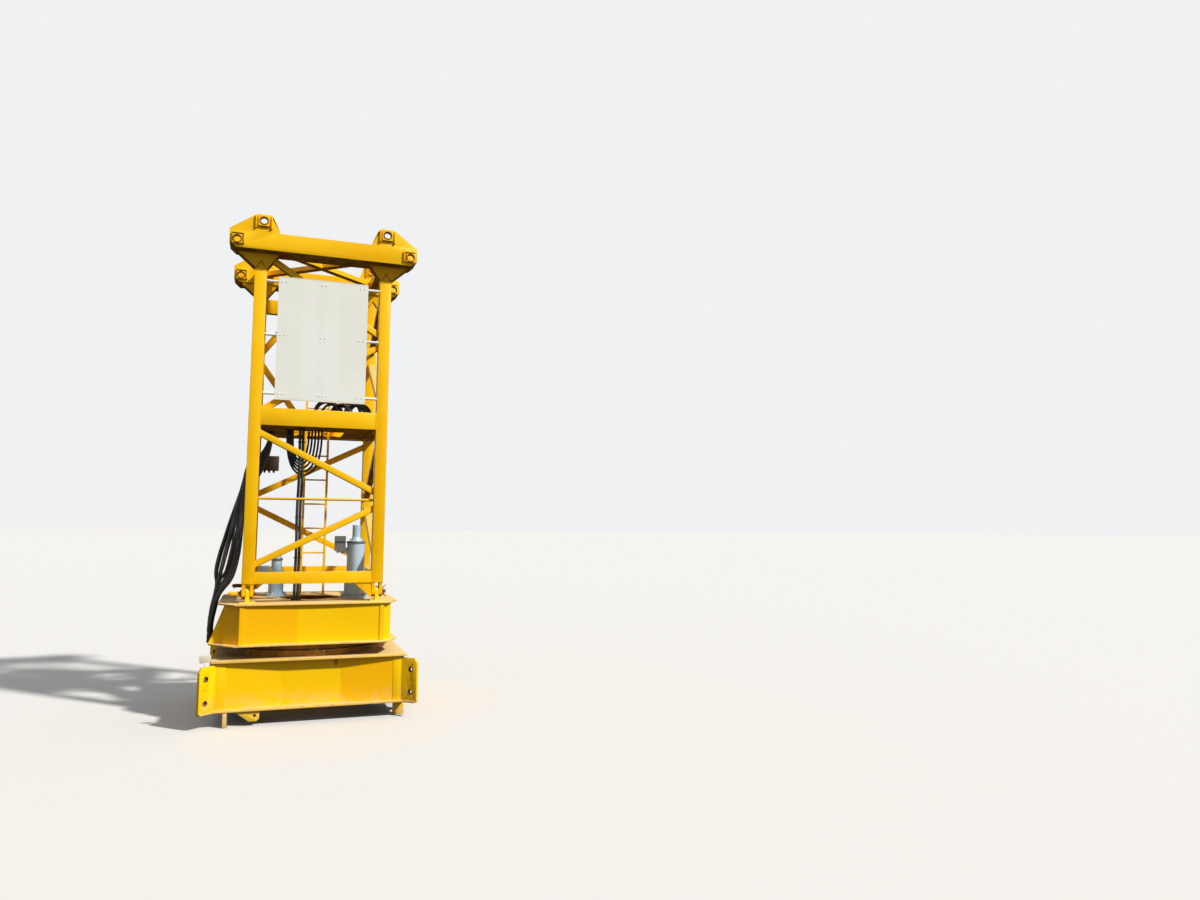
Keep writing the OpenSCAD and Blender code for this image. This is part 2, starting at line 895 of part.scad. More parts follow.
// Funnel of four plates that spreads a leg's load into the head beam: a notched
// plate on the leg's front and back faces and a sloping one on each side
module leg_funnel() {
    out = mast_half + gusset_out;
    inn = leg_inner - gusset_side;
    low = head_z - gusset_drop;
    for (y0 = [-mast_half - gusset_t, -leg_inner])
        upright(y0, gusset_t)
            polygon([
                [inn, head_z], [out, head_z], [mast_half, low], [mast_half - notch_in, low],
                [leg_centre, low + notch_h], [leg_inner + notch_in, low], [leg_inner, low]
            ]);
    upright(-mast_half, leg_w) {
        polygon([[out - gusset_t, head_z], [out, head_z], [mast_half, low], [mast_half, low + gusset_t]]);
        polygon([[inn + gusset_t, head_z], [inn, head_z], [leg_inner, low], [leg_inner, low + gusset_t]]);
    }
}

// The box of one head beam at the front: two cheeks, bottom, top and end plates
module head_beam_solid() {
    y0 = -leg_centre - leg_w / 2 - head_beam_w / 2;
    y1 = y0 + head_beam_w;
    outline = concat(lug_points(), mirrored(lug_points()));
    inner_x = lug_points()[6][0];
    bottom = [
        [lug_reach - bevel_x, head_z], [lug_reach, head_z + bevel_z],
        [lug_reach, head_z + bevel_z + head_bottom_t],
        [lug_reach - bevel_x, head_z + head_bottom_t]
    ];
    difference() {
        union() {
            for (y = [y0, y1 - cheek_t]) upright(y, cheek_t) polygon(outline);
            upright(y0 - pad_t, pad_t) lug_pads();
            upright(y1, pad_t) lug_pads();
            upright(y0, head_beam_w) polygon(concat(bottom, mirrored(bottom)));
            translate([-inner_x, y0, head_top - head_bottom_t])
                cube([2 * inner_x, head_beam_w, head_bottom_t]);
            for (side = [-1, 1])
                translate([side * (inner_x - head_bottom_t / 2) - head_bottom_t / 2, y0, head_z])
                    cube([head_bottom_t, head_beam_w, head_beam_h]);
        }
        upright(y0 - 2 * pad_t, head_beam_w + 4 * pad_t) lug_hole_circles();
    }
    for (mx = [0, 1]) mirror([mx, 0, 0]) leg_funnel();
}

module head_beam_front() {
    color(paint) head_beam_solid();
}

module head_beam_back() {
    color(paint) turned(2) head_beam_solid();
}

// Side beams over the legs and crossed bars in plan between the two head beams,
// with their tops level
module head_plan_bracing() {
    y_end = leg_centre + leg_w / 2 - head_beam_w / 2;
    color(paint) translate([0, 0, head_z + side_beam_rise]) {
        for (side = [-1, 1])
            translate([side * leg_centre - side_beam_w / 2, -y_end, 0])
                cube([side_beam_w, 2 * y_end, side_beam_w]);
        translate([0, 0, side_beam_w - plan_bar_h]) linear_extrude(height = plan_bar_h)
            intersection() {
                square([2 * leg_centre, 2 * y_end], center = true);
                for (side = [-1, 1]) rotate(side * atan2(y_end, leg_inner))
                    square([2 * mast_w, plan_bar_w], center = true);
            }
    }
}

// The bare white board and the three tubes that carry it between the legs
module sign_board() {
    z0 = mid_beam_top + board_rise;
    y0 = -mast_half - board_t - 2;
    color(board_white) {
        translate([board_x - board_w / 2, y0, z0]) cube([board_w, board_t, board_h]);
        for (share = rail_share)
            translate([-leg_inner, y0 + board_t + rail_r - rail_weld, z0 + share * board_h])
                rotate([0, 90, 0]) cylinder(r = rail_r, h = 2 * leg_inner, $fn = 32);
    }
}

module ladder() {
    top = head_z - ladder_top_gap;
    rungs = floor((top - platform_top - ladder_foot_gap) / rung_pitch);
    color(paint) translate([ladder_x, ladder_y, 0]) {
        for (side = [-1, 1]) {
            translate([side * ladder_w / 2 - stile_w / 2, -stile_w / 2, platform_top])
                cube([stile_w, stile_w, top - platform_top]);
            for (z = [leg_z + lower_beam_h / 2, mid_beam_z + mid_beam_h / 2])
                translate([side * ladder_w / 2 - bracket_t / 2, 0, z - bracket_w / 2])
                    cube([bracket_t, beam_inner - ladder_y, bracket_w]);
        }
        for (i = [0 : rungs])
            translate([-ladder_w / 2, 0, platform_top + ladder_foot_gap + i * rung_pitch])
                rotate([0, 90, 0]) cylinder(r = rung_r, h = ladder_w, $fn = 20);
    }
}

// A slewing drive: flanged gearbox, motor with its cover, brake cap on a sloping
// shoulder, and a terminal box that a neck holds beside the motor
module slew_drive(place, gear_d, motor_d, motor_h, terminal_rise, cap_h) {
    z1 = platform_top + drive_flange_h;
    z2 = z1 + gearbox_h;
    z3 = z2 + motor_h;
    z4 = z3 + cover_h / 2;
    r = motor_d / 2;
    box_x = -r - neck_l;
    box_z0 = z3 + terminal_rise - terminal_h;
    color(motor_grey) translate([place[0], place[1], 0]) {
        translate([0, 0, platform_top])
            cylinder(r = gear_d / 2 + drive_flange_w, h = drive_flange_h, $fn = 48);
        translate([0, 0, z1]) cylinder(r = gear_d / 2, h = gearbox_h, $fn = 48);
        translate([0, 0, z2]) cylinder(r = r, h = motor_h, $fn = 48);
        translate([0, 0, z4 - cover_h]) cylinder(r = r + cover_out, h = cover_h, $fn = 48);
        translate([0, 0, z4])
            cylinder(r1 = shoulder_share * r, r2 = cap_share * r, h = shoulder_h, $fn = 48);
        translate([0, 0, z4 + shoulder_h]) cylinder(r = cap_share * r, h = cap_h, $fn = 48);
        translate([box_x - terminal_w, -terminal_d / 2, box_z0])
            cube([terminal_w, terminal_d, terminal_h]);
        translate([box_x - neck_lap, -neck_w / 2, box_z0 - neck_h / 2])
            cube([neck_l + 2 * neck_lap, neck_w, neck_h]);
    }
}

module slew_drive_left() {
    slew_drive(drive_left, gearbox_d_left, motor_d_left, motor_h_left, terminal_rise_left, cap_h_left);
}

module slew_drive_right() {
    slew_drive(drive_right, gearbox_d_right, motor_d_right, motor_h_right, terminal_rise_right,
        cap_h_right);
}

module junction_box() {
    color(box_brown) translate([-leg_inner, leg_centre - box_d / 2, box_z])
        cube([box_w, box_d, box_h]);
}

// Four cables from the deck down into a gland on the platform's top plate
module riser_cables() {
    z0 = platform_top + gland_h;
    color(cable_black) {
        translate([riser_x - gland_w / 2, riser_y - gland_w / 2, platform_top])
            cube([gland_w, gland_w, gland_h]);
        for (i = [-0.5, 0.5]) for (j = [-0.5, 0.5])
            translate([riser_x + i * riser_pitch, riser_y + j * riser_pitch, z0 - 1])
                cylinder(r = riser_d / 2, h = mid_beam_z + deck_rise - z0 + 1, $fn = 16);
    }
}

// The whole of one loop, from its half profile
function loop_path(i) = let (
    w = loop_half_w - i * loop_w_step,
    drop = loop_drop - i * loop_drop_step,
    x = loop_x + i * loop_x_step,
    z = mid_beam_z + deck_rise,
    n = len(loop_profile)
) concat(
    [for (k = [0 : n - 1]) [x - w * loop_profile[k][0], z - drop * loop_profile[k][1]]],
    [for (k = [n - 2 : -1 : 0]) [x + w * loop_profile[k][0], z - drop * loop_profile[k][1]]]
);

module cable_loops() {
    color(cable_black) for (i = [0 : loop_count - 1])
        flat_tube(loop_path(i), loop_y + i * loop_y_step, loop_d / 2);
}

// Top of the lower bay's upper diagonal on the left side, at a given y
brace_fall = (mid_beam_z - brace_end_rise - (lower_beam_top + mid_beam_z) / 2 - brace_apex_gap)
    / (2 * leg_centre);
function brace_top(y) = mid_beam_z - brace_end_rise - brace_fall * (y + leg_centre)
    + brace_w / 2 * norm([1, brace_fall]);

function strand_y(i) = hanging_y + i * hanging_pitch;
function strand_end(i) = hanging_end_z + (i % 2) * hanging_end_step;

// Where a strand leans over the bar's outer edge, its own radius and a seat away
function strand_edge(i) = let (away = hanging_d / 2 + hanging_seat) [
    -mast_half + brace_recess - away * cos(hanging_lean),
    brace_top(strand_y(i)) + away * sin(hanging_lean)
];

function strand_path(i) = let (
    z_deck = mid_beam_z + deck_rise,
    edge = strand_edge(i),
    z_end = strand_end(i)
) concat(
    [for (p = hanging_inside) [p[0], z_deck + (edge[1] - z_deck) * p[1]]],
    [edge],
    [for (k = [0 : len(hanging_outside) - 1])
        let (p = hanging_outside[k])
            [p[0] + hanging_fan[i] * hanging_spread[k], edge[1] + (z_end - edge[1]) * (p[1] - 1)]]
);

module cable_bundle() {
    color(cable_black) for (i = [0 : hanging_count - 1]) {
        path = strand_path(i);
        tip = path[len(path) - 1];
        flat_tube(path, strand_y(i), hanging_d / 2);
        translate([tip[0], strand_y(i), tip[1] - plug_h]) cylinder(r = plug_r, h = plug_h, $fn = 24);
    }
}

support_bottom_plate();
support_top_plate();
support_web(0);  // support_web_front
support_web(1);  // support_web_right
support_web(2);  // support_web_back
support_web(3);  // support_web_left
support_drum();
corner_plates();
foot_plates();
lashing_lugs();
slewing_ring_fixed();
slewing_ring_rotating();
platform_bottom_plate();
platform_top_plate();
platform_web_front();
platform_web(1);  // platform_web_right
platform_web(2);  // platform_web_back
platform_web_left();
platform_drum();
mast_lugs();
mast_pins();
slew_drive_left();
slew_drive_right();
leg(0, 0);  // leg_front_left
leg(1, 0);  // leg_front_right
leg(1, 1);  // leg_back_right
leg(0, 1);  // leg_back_left
haunch_beam(0);  // lower_beam_front
beam(1, leg_z, lower_beam_h);  // lower_beam_right
haunch_beam(2);  // lower_beam_back
beam(3, leg_z, lower_beam_h);  // lower_beam_left
beam(0, mid_beam_z, mid_beam_h);  // mid_beam_front
beam(1, mid_beam_z, mid_beam_h);  // mid_beam_right
beam(2, mid_beam_z, mid_beam_h);  // mid_beam_back
beam(3, mid_beam_z, mid_beam_h);  // mid_beam_left
mid_deck();
bracing_front();
bracing_right();
bracing_back();
bracing_left();
head_beam_front();
head_beam_back();
head_plan_bracing();
sign_board();
ladder();
junction_box();
riser_cables();
cable_loops();
cable_bundle();
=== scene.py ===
# %% [markdown]
# # The slewing unit of a tower crane
#
# The object is the part of a tower crane that turns: a ring support on four feet, the slewing
# ring, the platform that turns on it, and a short lattice mast with a head for the jibs. The
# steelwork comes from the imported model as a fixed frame. This lesson gives it its paint, dust
# and rust, hangs the cables at their real length, and adds the welds, bolts and fittings that
# make painted steel look like a machine. It uses mesh operators, curves and shader nodes only.

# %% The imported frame
import json
import math
import random

import bmesh
import bpy
from mathutils import Matrix, Vector


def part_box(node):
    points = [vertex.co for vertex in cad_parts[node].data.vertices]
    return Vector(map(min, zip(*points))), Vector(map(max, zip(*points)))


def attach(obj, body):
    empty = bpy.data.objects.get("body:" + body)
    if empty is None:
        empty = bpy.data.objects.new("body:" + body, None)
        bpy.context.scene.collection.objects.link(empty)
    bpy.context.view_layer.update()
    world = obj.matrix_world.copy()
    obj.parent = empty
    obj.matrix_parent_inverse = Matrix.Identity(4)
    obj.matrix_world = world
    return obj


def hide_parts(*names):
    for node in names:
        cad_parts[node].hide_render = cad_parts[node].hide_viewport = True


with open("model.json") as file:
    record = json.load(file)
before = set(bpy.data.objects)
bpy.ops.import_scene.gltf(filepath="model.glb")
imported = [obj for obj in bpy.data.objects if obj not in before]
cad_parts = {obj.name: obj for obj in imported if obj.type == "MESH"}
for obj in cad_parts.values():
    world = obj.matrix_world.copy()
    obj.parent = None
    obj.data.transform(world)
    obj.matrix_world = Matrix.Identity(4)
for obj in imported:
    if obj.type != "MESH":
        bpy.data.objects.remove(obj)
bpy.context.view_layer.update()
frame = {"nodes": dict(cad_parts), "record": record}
print("nodes in the frame:", len(frame["nodes"]))

# %% [markdown]
# ## The camera
#
# The photograph was taken from standing height, a little to the left of the crane, with a wide
# lens. A camera is three things: a place, a direction and a focal length. The direction is
# written as a compass angle and a tilt, and turned into the camera's own axes, because that
# keeps the small roll of the hand-held picture as a plain number too.

# %% A camera where the photographer stood
PHOTO_WIDTH = 1200
SENSOR = 36.0
FOCAL_PIXELS = 876.88
eye = Vector((-0.4816, -10.3516, 1.9623))
heading, tilt, roll = 0.3613, 0.0885, 0.0075

forward = Vector((math.sin(heading) * math.cos(tilt), math.cos(heading) * math.cos(tilt), math.sin(tilt)))
level = Vector((math.cos(heading), -math.sin(heading), 0))
upward = level.cross(forward)
side_axis = math.cos(roll) * level + math.sin(roll) * upward
up_axis = math.cos(roll) * upward - math.sin(roll) * level

camera = bpy.data.objects.new("camera", bpy.data.cameras.new("camera"))
bpy.context.scene.collection.objects.link(camera)
camera.data.sensor_width = SENSOR
camera.data.lens = SENSOR * FOCAL_PIXELS / PHOTO_WIDTH
camera.matrix_world = Matrix.Translation(eye) @ Matrix(
    (side_axis, up_axis, -forward)).transposed().to_4x4()
bpy.context.scene.camera = camera
print("lens:", round(camera.data.lens, 2), "mm")

# %% [markdown]
# ## Small tools for shapes
#
# Every new piece starts as a bmesh, is shaped by operators, and ends as an object at the origin
# with its place in its mesh, as the steelwork's own nodes are. One function does that last step,
# so that no piece forgets its body or its finish.

# %% From a bmesh to a piece of the crane
UPPER, LOWER = "slewing_platform", "ring_support"
SMOOTH_ANGLE = math.radians(35)
SAME_PLACE = 1e-6


def finish_mesh(mesh):
    """Smooth faces, with a hard edge wherever two of them meet at a larger angle."""
    mesh.polygons.foreach_set("use_smooth", [True] * len(mesh.polygons))
    mesh.set_sharp_from_angle(angle=SMOOTH_ANGLE)


def piece(bm, name, body, material):
    """Writes a bmesh as one object, with its finish and the body that it rides on."""
    bmesh.ops.remove_doubles(bm, verts=bm.verts, dist=SAME_PLACE)
    bmesh.ops.recalc_face_normals(bm, faces=bm.faces)
    mesh = bpy.data.meshes.new(name)
    bm.to_mesh(mesh)
    bm.free()
    finish_mesh(mesh)
    made = bpy.data.objects.new(name, mesh)
    bpy.context.scene.collection.objects.link(made)
    mesh.materials.append(material)
    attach(made, body)
    print(name, "has", len(mesh.polygons), "faces")
    return made


def add_block(bm, low, high, edge):
    """A block between two corners, with its edges rounded by a small radius."""
    low, high = Vector(low), Vector(high)
    size = high - low
    scale = Matrix.Diagonal((size.x, size.y, size.z, 1))
    made = bmesh.ops.create_cube(bm, size=1.0, matrix=Matrix.Translation((low + high) / 2) @ scale)
    edges = {e for v in made["verts"] for e in v.link_edges}
    bmesh.ops.bevel(bm, geom=list(edges), offset=edge, offset_type="OFFSET", affect="EDGES",
                    segments=2, profile=0.5, material=-1)


def add_rod(bm, start, end, radius, sides=12, end_radius=None):
    """A round or many-sided rod between two points. With an end radius it tapers."""
    start, end = Vector(start), Vector(end)
    along = end - start
    turn = along.to_track_quat("Z", "Y").to_matrix().to_4x4()
    bmesh.ops.create_cone(
        bm, cap_ends=True, segments=sides, radius1=radius,
        radius2=radius if end_radius is None else end_radius, depth=along.length,
        matrix=Matrix.Translation((start + end) / 2) @ turn)


def add_turned(bm, outline, centre, direction, steps=32):
    """Spins a closed outline of (radius, height) points about an axis through centre."""
    turn = Vector(direction).to_track_quat("Z", "Y").to_matrix()
    verts = [bm.verts.new(Vector(centre) + turn @ Vector((r, 0, h))) for r, h in outline]
    edges = [bm.edges.new(pair) for pair in zip(verts, verts[1:] + verts[:1])]
    bmesh.ops.spin(bm, geom=verts + edges, cent=centre, axis=turn @ Vector((0, 0, 1)),
                   angle=2 * math.pi, steps=steps, use_merge=True)


def round_wire(radius, wire, sides=8):
    """The outline of a round wire that is bent to a ring, for add_turned."""
    turns = [2 * math.pi * k / sides for k in range(sides)]
    return [(radius + wire * math.cos(turn), wire * math.sin(turn)) for turn in turns]


# A washer's part of a bolt's height, and the radii of washer and head as parts of its width
WASHER_THICK, WASHER_REACH, HEAD_REACH = 0.2, 0.72, 0.577


def add_bolt(bm, base, direction, across, height):
    """A bolt head with six sides on a washer, standing on a surface."""
    base, direction = Vector(base), Vector(direction).normalized()
    seat = base + direction * WASHER_THICK * height
    add_rod(bm, base, seat, WASHER_REACH * across, 16)
    add_rod(bm, seat, base + direction * height, HEAD_REACH * across, 6)


def add_mesh(bm, part):
    """Adds a small bmesh that was shaped by itself to a larger one, and frees it."""
    held = bpy.data.meshes.new("held")
    part.to_mesh(held)
    part.free()
    bm.from_mesh(held)
    bpy.data.meshes.remove(held)


# %% [markdown]
# ## Shader maths as Python
#
# A material is a graph of nodes, but its logic is arithmetic: a mask is a product of smaller
# masks, and a colour is a mix by a mask. The small class below wraps one output socket and
# overloads the operators, so that a line such as `1 - dust * patch` adds the Math nodes by
# itself. Colours go through a Mix node instead, because a Math node would turn them grey.

# %% A value that can be used in an expression
class Value:
    """One output socket of a shader node."""

    def __init__(self, finish, socket):
        self.finish = finish
        self.socket = socket

    def maths(self, operation, first, second=0.0):
        """One Math node."""
        return self.finish.node("ShaderNodeMath", {"operation": operation}, {0: first, 1: second})

    def __add__(self, other):
        return self.maths("ADD", self, other)

    __radd__ = __add__

    def __sub__(self, other):
        return self.maths("SUBTRACT", self, other)

    def __rsub__(self, other):
        return self.maths("SUBTRACT", other, self)

    def __mul__(self, other):
        return self.maths("MULTIPLY", self, other)

    __rmul__ = __mul__

    def __truediv__(self, other):
        return self.maths("DIVIDE", self, other)

    def __abs__(self):
        return self.maths("ABSOLUTE", self)

    def least(self, other):
        return self.maths("MINIMUM", self, other)

    def most(self, other):
        return self.maths("MAXIMUM", self, other)

    def rise(self, start, end):
        """0 before start, 1 after end, and a smooth step between them."""
        return self.finish.node(
            "ShaderNodeMapRange", {"interpolation_type": "SMOOTHSTEP"},
            {"Value": self, "From Min": start, "From Max": end})

    def part(self, axis):
        """The X, Y or Z of a vector."""
        return self.finish.node("ShaderNodeSeparateXYZ", {}, {0: self}, axis)


def ink(red, green, blue):
    """A colour as a paint chart gives it, from 0 to 255, as the linear colour that nodes use."""
    return tuple(
        (c / 255 / 12.92 if c <= 10 else ((c / 255 + 0.055) / 1.055) ** 2.4) for c in (red, green, blue)
    ) + (1.0,)


class Finish:
    """A material, with the few nodes that the crane's finishes are made of."""

    def __init__(self, name):
        self.material = bpy.data.materials.new(name)
        self.material.use_nodes = True
        self.tree = self.material.node_tree
        self.tree.nodes.clear()
        self.place = self.node("ShaderNodeTexCoord", output="Object")
        self.facing = self.node("ShaderNodeNewGeometry", output="Normal")

    def node(self, kind, settings=None, sockets=None, output=0):
        """Any node: its settings first, then the values or links of its sockets."""
        made = self.tree.nodes.new(kind)
        for name, value in (settings or {}).items():
            setattr(made, name, value)
        for key, value in (sockets or {}).items():
            if isinstance(value, Value):
                self.tree.links.new(value.socket, made.inputs[key])
            else:
                made.inputs[key].default_value = value
        return Value(self, made.outputs[output])

    def mix(self, share, first, second):
        """A colour between two colours."""
        return self.node("ShaderNodeMix", {"data_type": "RGBA", "clamp_factor": True},
                         {0: share, 6: first, 7: second}, 2)

    def stretched(self, stretch, offset=(0, 0, 0)):
        """The object's own coordinates, scaled and shifted."""
        return self.node("ShaderNodeMapping", {},
                         {"Vector": self.place, "Scale": stretch, "Location": offset})

    def noise(self, scale, detail=3.0, rough=0.5, where=None):
        """Cloudy values about one half. A larger scale makes smaller clouds."""
        sockets = {"Vector": where or self.place, "Scale": scale, "Detail": detail, "Roughness": rough}
        return self.node("ShaderNodeTexNoise", {}, sockets)

    def bump(self, height, distance, strength=1.0, under=None):
        """A normal that follows a height. Another bump may lie under it."""
        sockets = {"Strength": strength, "Distance": distance, "Height": height}
        if under is not None:
            sockets["Normal"] = under
        return self.node("ShaderNodeBump", {}, sockets)

    def close(self, colour, roughness, normal=None, metallic=0.0, plain=None):
        """The surface itself. What plain holds is set on the shader's sockets, the same all over."""
        sockets = {"Base Color": colour, "Roughness": roughness, "Metallic": metallic, **(plain or {})}
        if normal is not None:
            sockets["Normal"] = normal
        surface = self.node("ShaderNodeBsdfPrincipled", {}, sockets)
        end = self.tree.nodes.new("ShaderNodeOutputMaterial")
        self.tree.links.new(surface.socket, end.inputs["Surface"])
        return self.material


# %% [markdown]
# ## Rolled and dressed edges
#
# No steel edge is razor sharp. A rolled square tube has rounded corners, and a plate's edges are
# dressed with a grinder before it is painted, so each one catches a thin line of light. A Bevel
# modifier could do this, but the paint also wants to know where the edges are, because that is
# where it wears, and where a paler colour is put on as a painted highlight. So the bevel is
# done once with the mesh operator, on a merged copy of the node, and the faces that it makes are
# marked in an attribute that the paint reads.

# %% A copy of a steel node with rounded edges
# The marked edges carry both the wear and a painted highlight.
EDGE_MARK = "worn_and_highlit_edge"
SHARP = math.radians(30)
NEARLY_FLAT = math.radians(0.6)
SAME_CORNER = 2e-5
frame_bodies = frame["record"]["behaviour"]["bodies"]


def rounded(node, width):
    """Stands a merged and bevelled copy in for a node, and returns it."""
    bm = bmesh.new()
    bm.from_mesh(frame["nodes"][node].data)
    bmesh.ops.remove_doubles(bm, verts=bm.verts, dist=SAME_CORNER)
    bmesh.ops.dissolve_limit(bm, angle_limit=NEARLY_FLAT, verts=bm.verts, edges=bm.edges)
    sharp = [e for e in bm.edges if len(e.link_faces) == 2 and e.calc_face_angle(0) > SHARP]
    made = bmesh.ops.bevel(bm, geom=sharp, offset=width, offset_type="OFFSET", affect="EDGES",
                           segments=2, profile=0.5, material=-1, clamp_overlap=True)
    bm.faces.index_update()
    strips = {f.index for f in made["faces"] if f.is_valid}
    mesh = bpy.data.meshes.new(node + "_rounded")
    bm.to_mesh(mesh)
    bm.free()
    mark = mesh.attributes.new(EDGE_MARK, "FLOAT", "FACE")
    mark.data.foreach_set("value", [1.0 if i in strips else 0.0 for i in range(len(mesh.polygons))])
    finish_mesh(mesh)
    copy = bpy.data.objects.new(node + "_rounded", mesh)
    bpy.context.scene.collection.objects.link(copy)
    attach(copy, LOWER if node in frame_bodies[LOWER] else UPPER)
    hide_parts(node)
    return copy


# %% [markdown]
# ## Crane yellow
#
# The whole steelwork was sprayed golden yellow years ago and has stood out of doors since. Its
# lower parts were sprayed again later, and on two webs the upright faces turn more orange beyond a
# fold. The paint has a cloudy shade. Over it lie thin rain streaks that run straight down, pale tan
# dust on every surface that faces up, a brown painted shade on what faces down, a paler painted
# highlight on the marked edges, and rust where an edge or a stone chip has broken the paint. The
# masks come from the direction that a face looks in, from the marked edges, from a place on the
# steel, and from noise at several scales.

# %% The yellow paint of one piece of steel
YELLOW = ink(254, 198, 4)
YELLOW_DEEP = ink(252, 188, 0)
YELLOW_PALE = ink(254, 212, 54)
YELLOW_FRESH = ink(255, 207, 0)
YELLOW_ORANGE = ink(255, 188, 0)
DUST = ink(232, 202, 146)
RUST = ink(116, 62, 28)
GRIME = ink(92, 66, 30)
# Painted shade: the dark brown that faces looking down are mixed towards.
SHADE_BROWN = ink(52, 34, 16)
SPLASH_HEIGHT = (0.36, 0.13)
STAIN_WIDTH, STAIN_HEIGHT = 0.022, 0.05
DULL_PAINT = {"Specular IOR Level": 0.22}
paint_count = 0


def yellow_paint(name, dust=0.6, wear=0.5, chips=0.4, splash=0.0, rim=0.0, underside_shade=0.75, fresh=0.0,
                 stain=None, orange_band=None):
    """Yellow paint for one piece. The shares say how dusty, worn and freshly painted it is, and how dark
    the painted shade on its undersides is. A stain is the X and Z of a rust stain, and the last argument
    the two X between which the upright faces turn more orange."""
    global paint_count
    paint_count += 1
    f = Finish(name)
    shift = (3.1 * paint_count, 1.7 * paint_count, 0.9 * paint_count)
    here = f.stretched((1, 1, 1), shift)
    cloud = f.noise(1.6, 2.0, 0.5, here)
    mottle = f.noise(9.0, 4.0, 0.6, here)
    grain = f.noise(260.0, 2.0, 0.5, here)
    streak = f.noise(1.0, 4.0, 0.6, f.stretched((58, 58, 2.2), shift))
    speck = f.noise(62.0, 2.0, 0.6, here)
    edge = f.node("ShaderNodeAttribute", {"attribute_name": EDGE_MARK}, {}, 2)

    up = f.facing.part("Z")
    upright = (1 - abs(up)).rise(0.2, 0.8)
    lying = up.rise(0.35, 0.85)
    # Painted shade on faces that look down; the share for the undersides sets its strength.
    under = up.rise(-0.25, -0.8) * underside_shade
    runs = streak.rise(0.60, 0.80) * upright * mottle.rise(0.4, 0.7) * 0.30
    patch = (cloud + (mottle - 0.5) * 0.8).rise(0.30, 0.62)
    dusty = (lying * (patch * 0.45 + 0.55) * dust).most(runs * dust)
    if rim:
        dusty = dusty.most(upright * (mottle * 0.6 + speck * 0.4).rise(0.38, 0.56) * rim)
    if splash:
        low_down = f.place.part("Z").rise(*SPLASH_HEIGHT) * (mottle + cloud * 0.6).rise(0.62, 0.92)
        dusty = dusty.most(low_down * splash)
    chipped = (speck * 0.7 + mottle * 0.42).rise(0.725, 0.765) * chips
    worn = edge * (mottle * 0.65 + speck * 0.35).rise(0.46, 0.58) * wear

    tone = f.mix(cloud.rise(0.35, 0.65), YELLOW, YELLOW_DEEP)
    tone = f.mix(mottle.rise(0.45, 0.8) * 0.30, tone, YELLOW_PALE)
    if fresh:
        tone = f.mix((cloud * 0.4 + 0.8) * fresh, tone, YELLOW_FRESH)
    if orange_band:
        # Upright faces beyond the given X, where a web folds, turn more orange.
        tone = f.mix(f.place.part("X").rise(*orange_band) * upright * 0.8, tone, YELLOW_ORANGE)
    # Painted highlight: the marked edges are mixed towards pale yellow.
    tone = f.mix(edge * 0.35, tone, YELLOW_PALE)
    tone = f.mix(streak.rise(0.62, 0.82) * upright * 0.14, tone, GRIME)
    if stain:
        dx = (f.place.part("X") - stain[0]) / STAIN_WIDTH
        dz = (f.place.part("Z") - stain[1]) / STAIN_HEIGHT
        tone = f.mix((dx * dx + dz * dz + (mottle - 0.5) * 3).rise(1.2, 0.0) * 0.6, tone, RUST)
    tone = f.mix(dusty, tone, DUST)
    tone = f.mix(worn.most(chipped), tone, RUST)
    # Faces that look down are darkened towards brown, a painted shade.
    tone = f.mix(under * (mottle * 0.5 + 0.6), tone, SHADE_BROWN)
    gloss = 0.38 + dusty * 0.42 + (worn + chipped) * 0.25 + (mottle - 0.5) * 0.14 + under * 0.6
    wavy = f.bump(f.noise(2.6, 1.0, 0.4, here), 0.012, 0.35)
    skin = f.bump(grain * 0.4 + mottle * 0.5 - chipped * 1.5, 0.0012, 0.5, wavy)
    return f.close(tone, gloss, skin, plain=DULL_PAINT)


def dress(node, material):
    """Gives a node of the frame its finish, in every material slot that it has."""
    steel = frame["nodes"][node]
    if not steel.material_slots:
        steel.data.materials.append(material)
    for slot in steel.material_slots:
        slot.material = material


# %% [markdown]
# ## Which steel gets what
#
# The steel falls into four families, and weather finds each of them differently. The support lies
# where rain splashes mud, the platform is trodden on, the wide plates hold the dust, and the mast
# only gets rain. The tables below give each family its shares, and each kind of piece the radius of
# its edges: 9 mm on the legs' tubes, 6 mm on thinner tubes, and 2 to 4 mm on plate. Webs and drums
# stand between plates, so their edges are left.

# %% Paint and edges, family by family
SIDES = ("front", "right", "back", "left")
CORNERS = ("front_left", "front_right", "back_right", "back_left")
yellow_nodes = {
    "support": ["support_drum", "corner_plates", "foot_plates", "lashing_lugs"]
               + ["support_web_" + side for side in SIDES],
    "platform": ["platform_drum", "mast_lugs"] + ["platform_web_" + side for side in SIDES],
    "plate": ["support_bottom_plate", "support_top_plate", "platform_bottom_plate", "platform_top_plate"],
    "mast": ["leg_" + corner for corner in CORNERS]
            + [kind + side for kind in ("lower_beam_", "mid_beam_", "bracing_") for side in SIDES]
            + ["mid_deck", "head_beam_front", "head_beam_back", "head_plan_bracing", "ladder"],
}
# The share for the undersides in each family sets how much painted shade darkens faces that look down.
share_of = {
    "support": {"dust": 0.85, "wear": 0.8, "chips": 0.4, "splash": 0.35, "fresh": 0.75},
    "platform": {"dust": 0.75, "wear": 0.7, "chips": 0.3, "underside_shade": 1.0, "fresh": 0.8},
    "plate": {"dust": 0.95, "wear": 0.9, "chips": 0.5, "rim": 0.55, "underside_shade": 1.0},
    "mast": {"dust": 0.55, "wear": 0.5, "chips": 0.3, "underside_shade": 1.0, "fresh": 0.1},
}
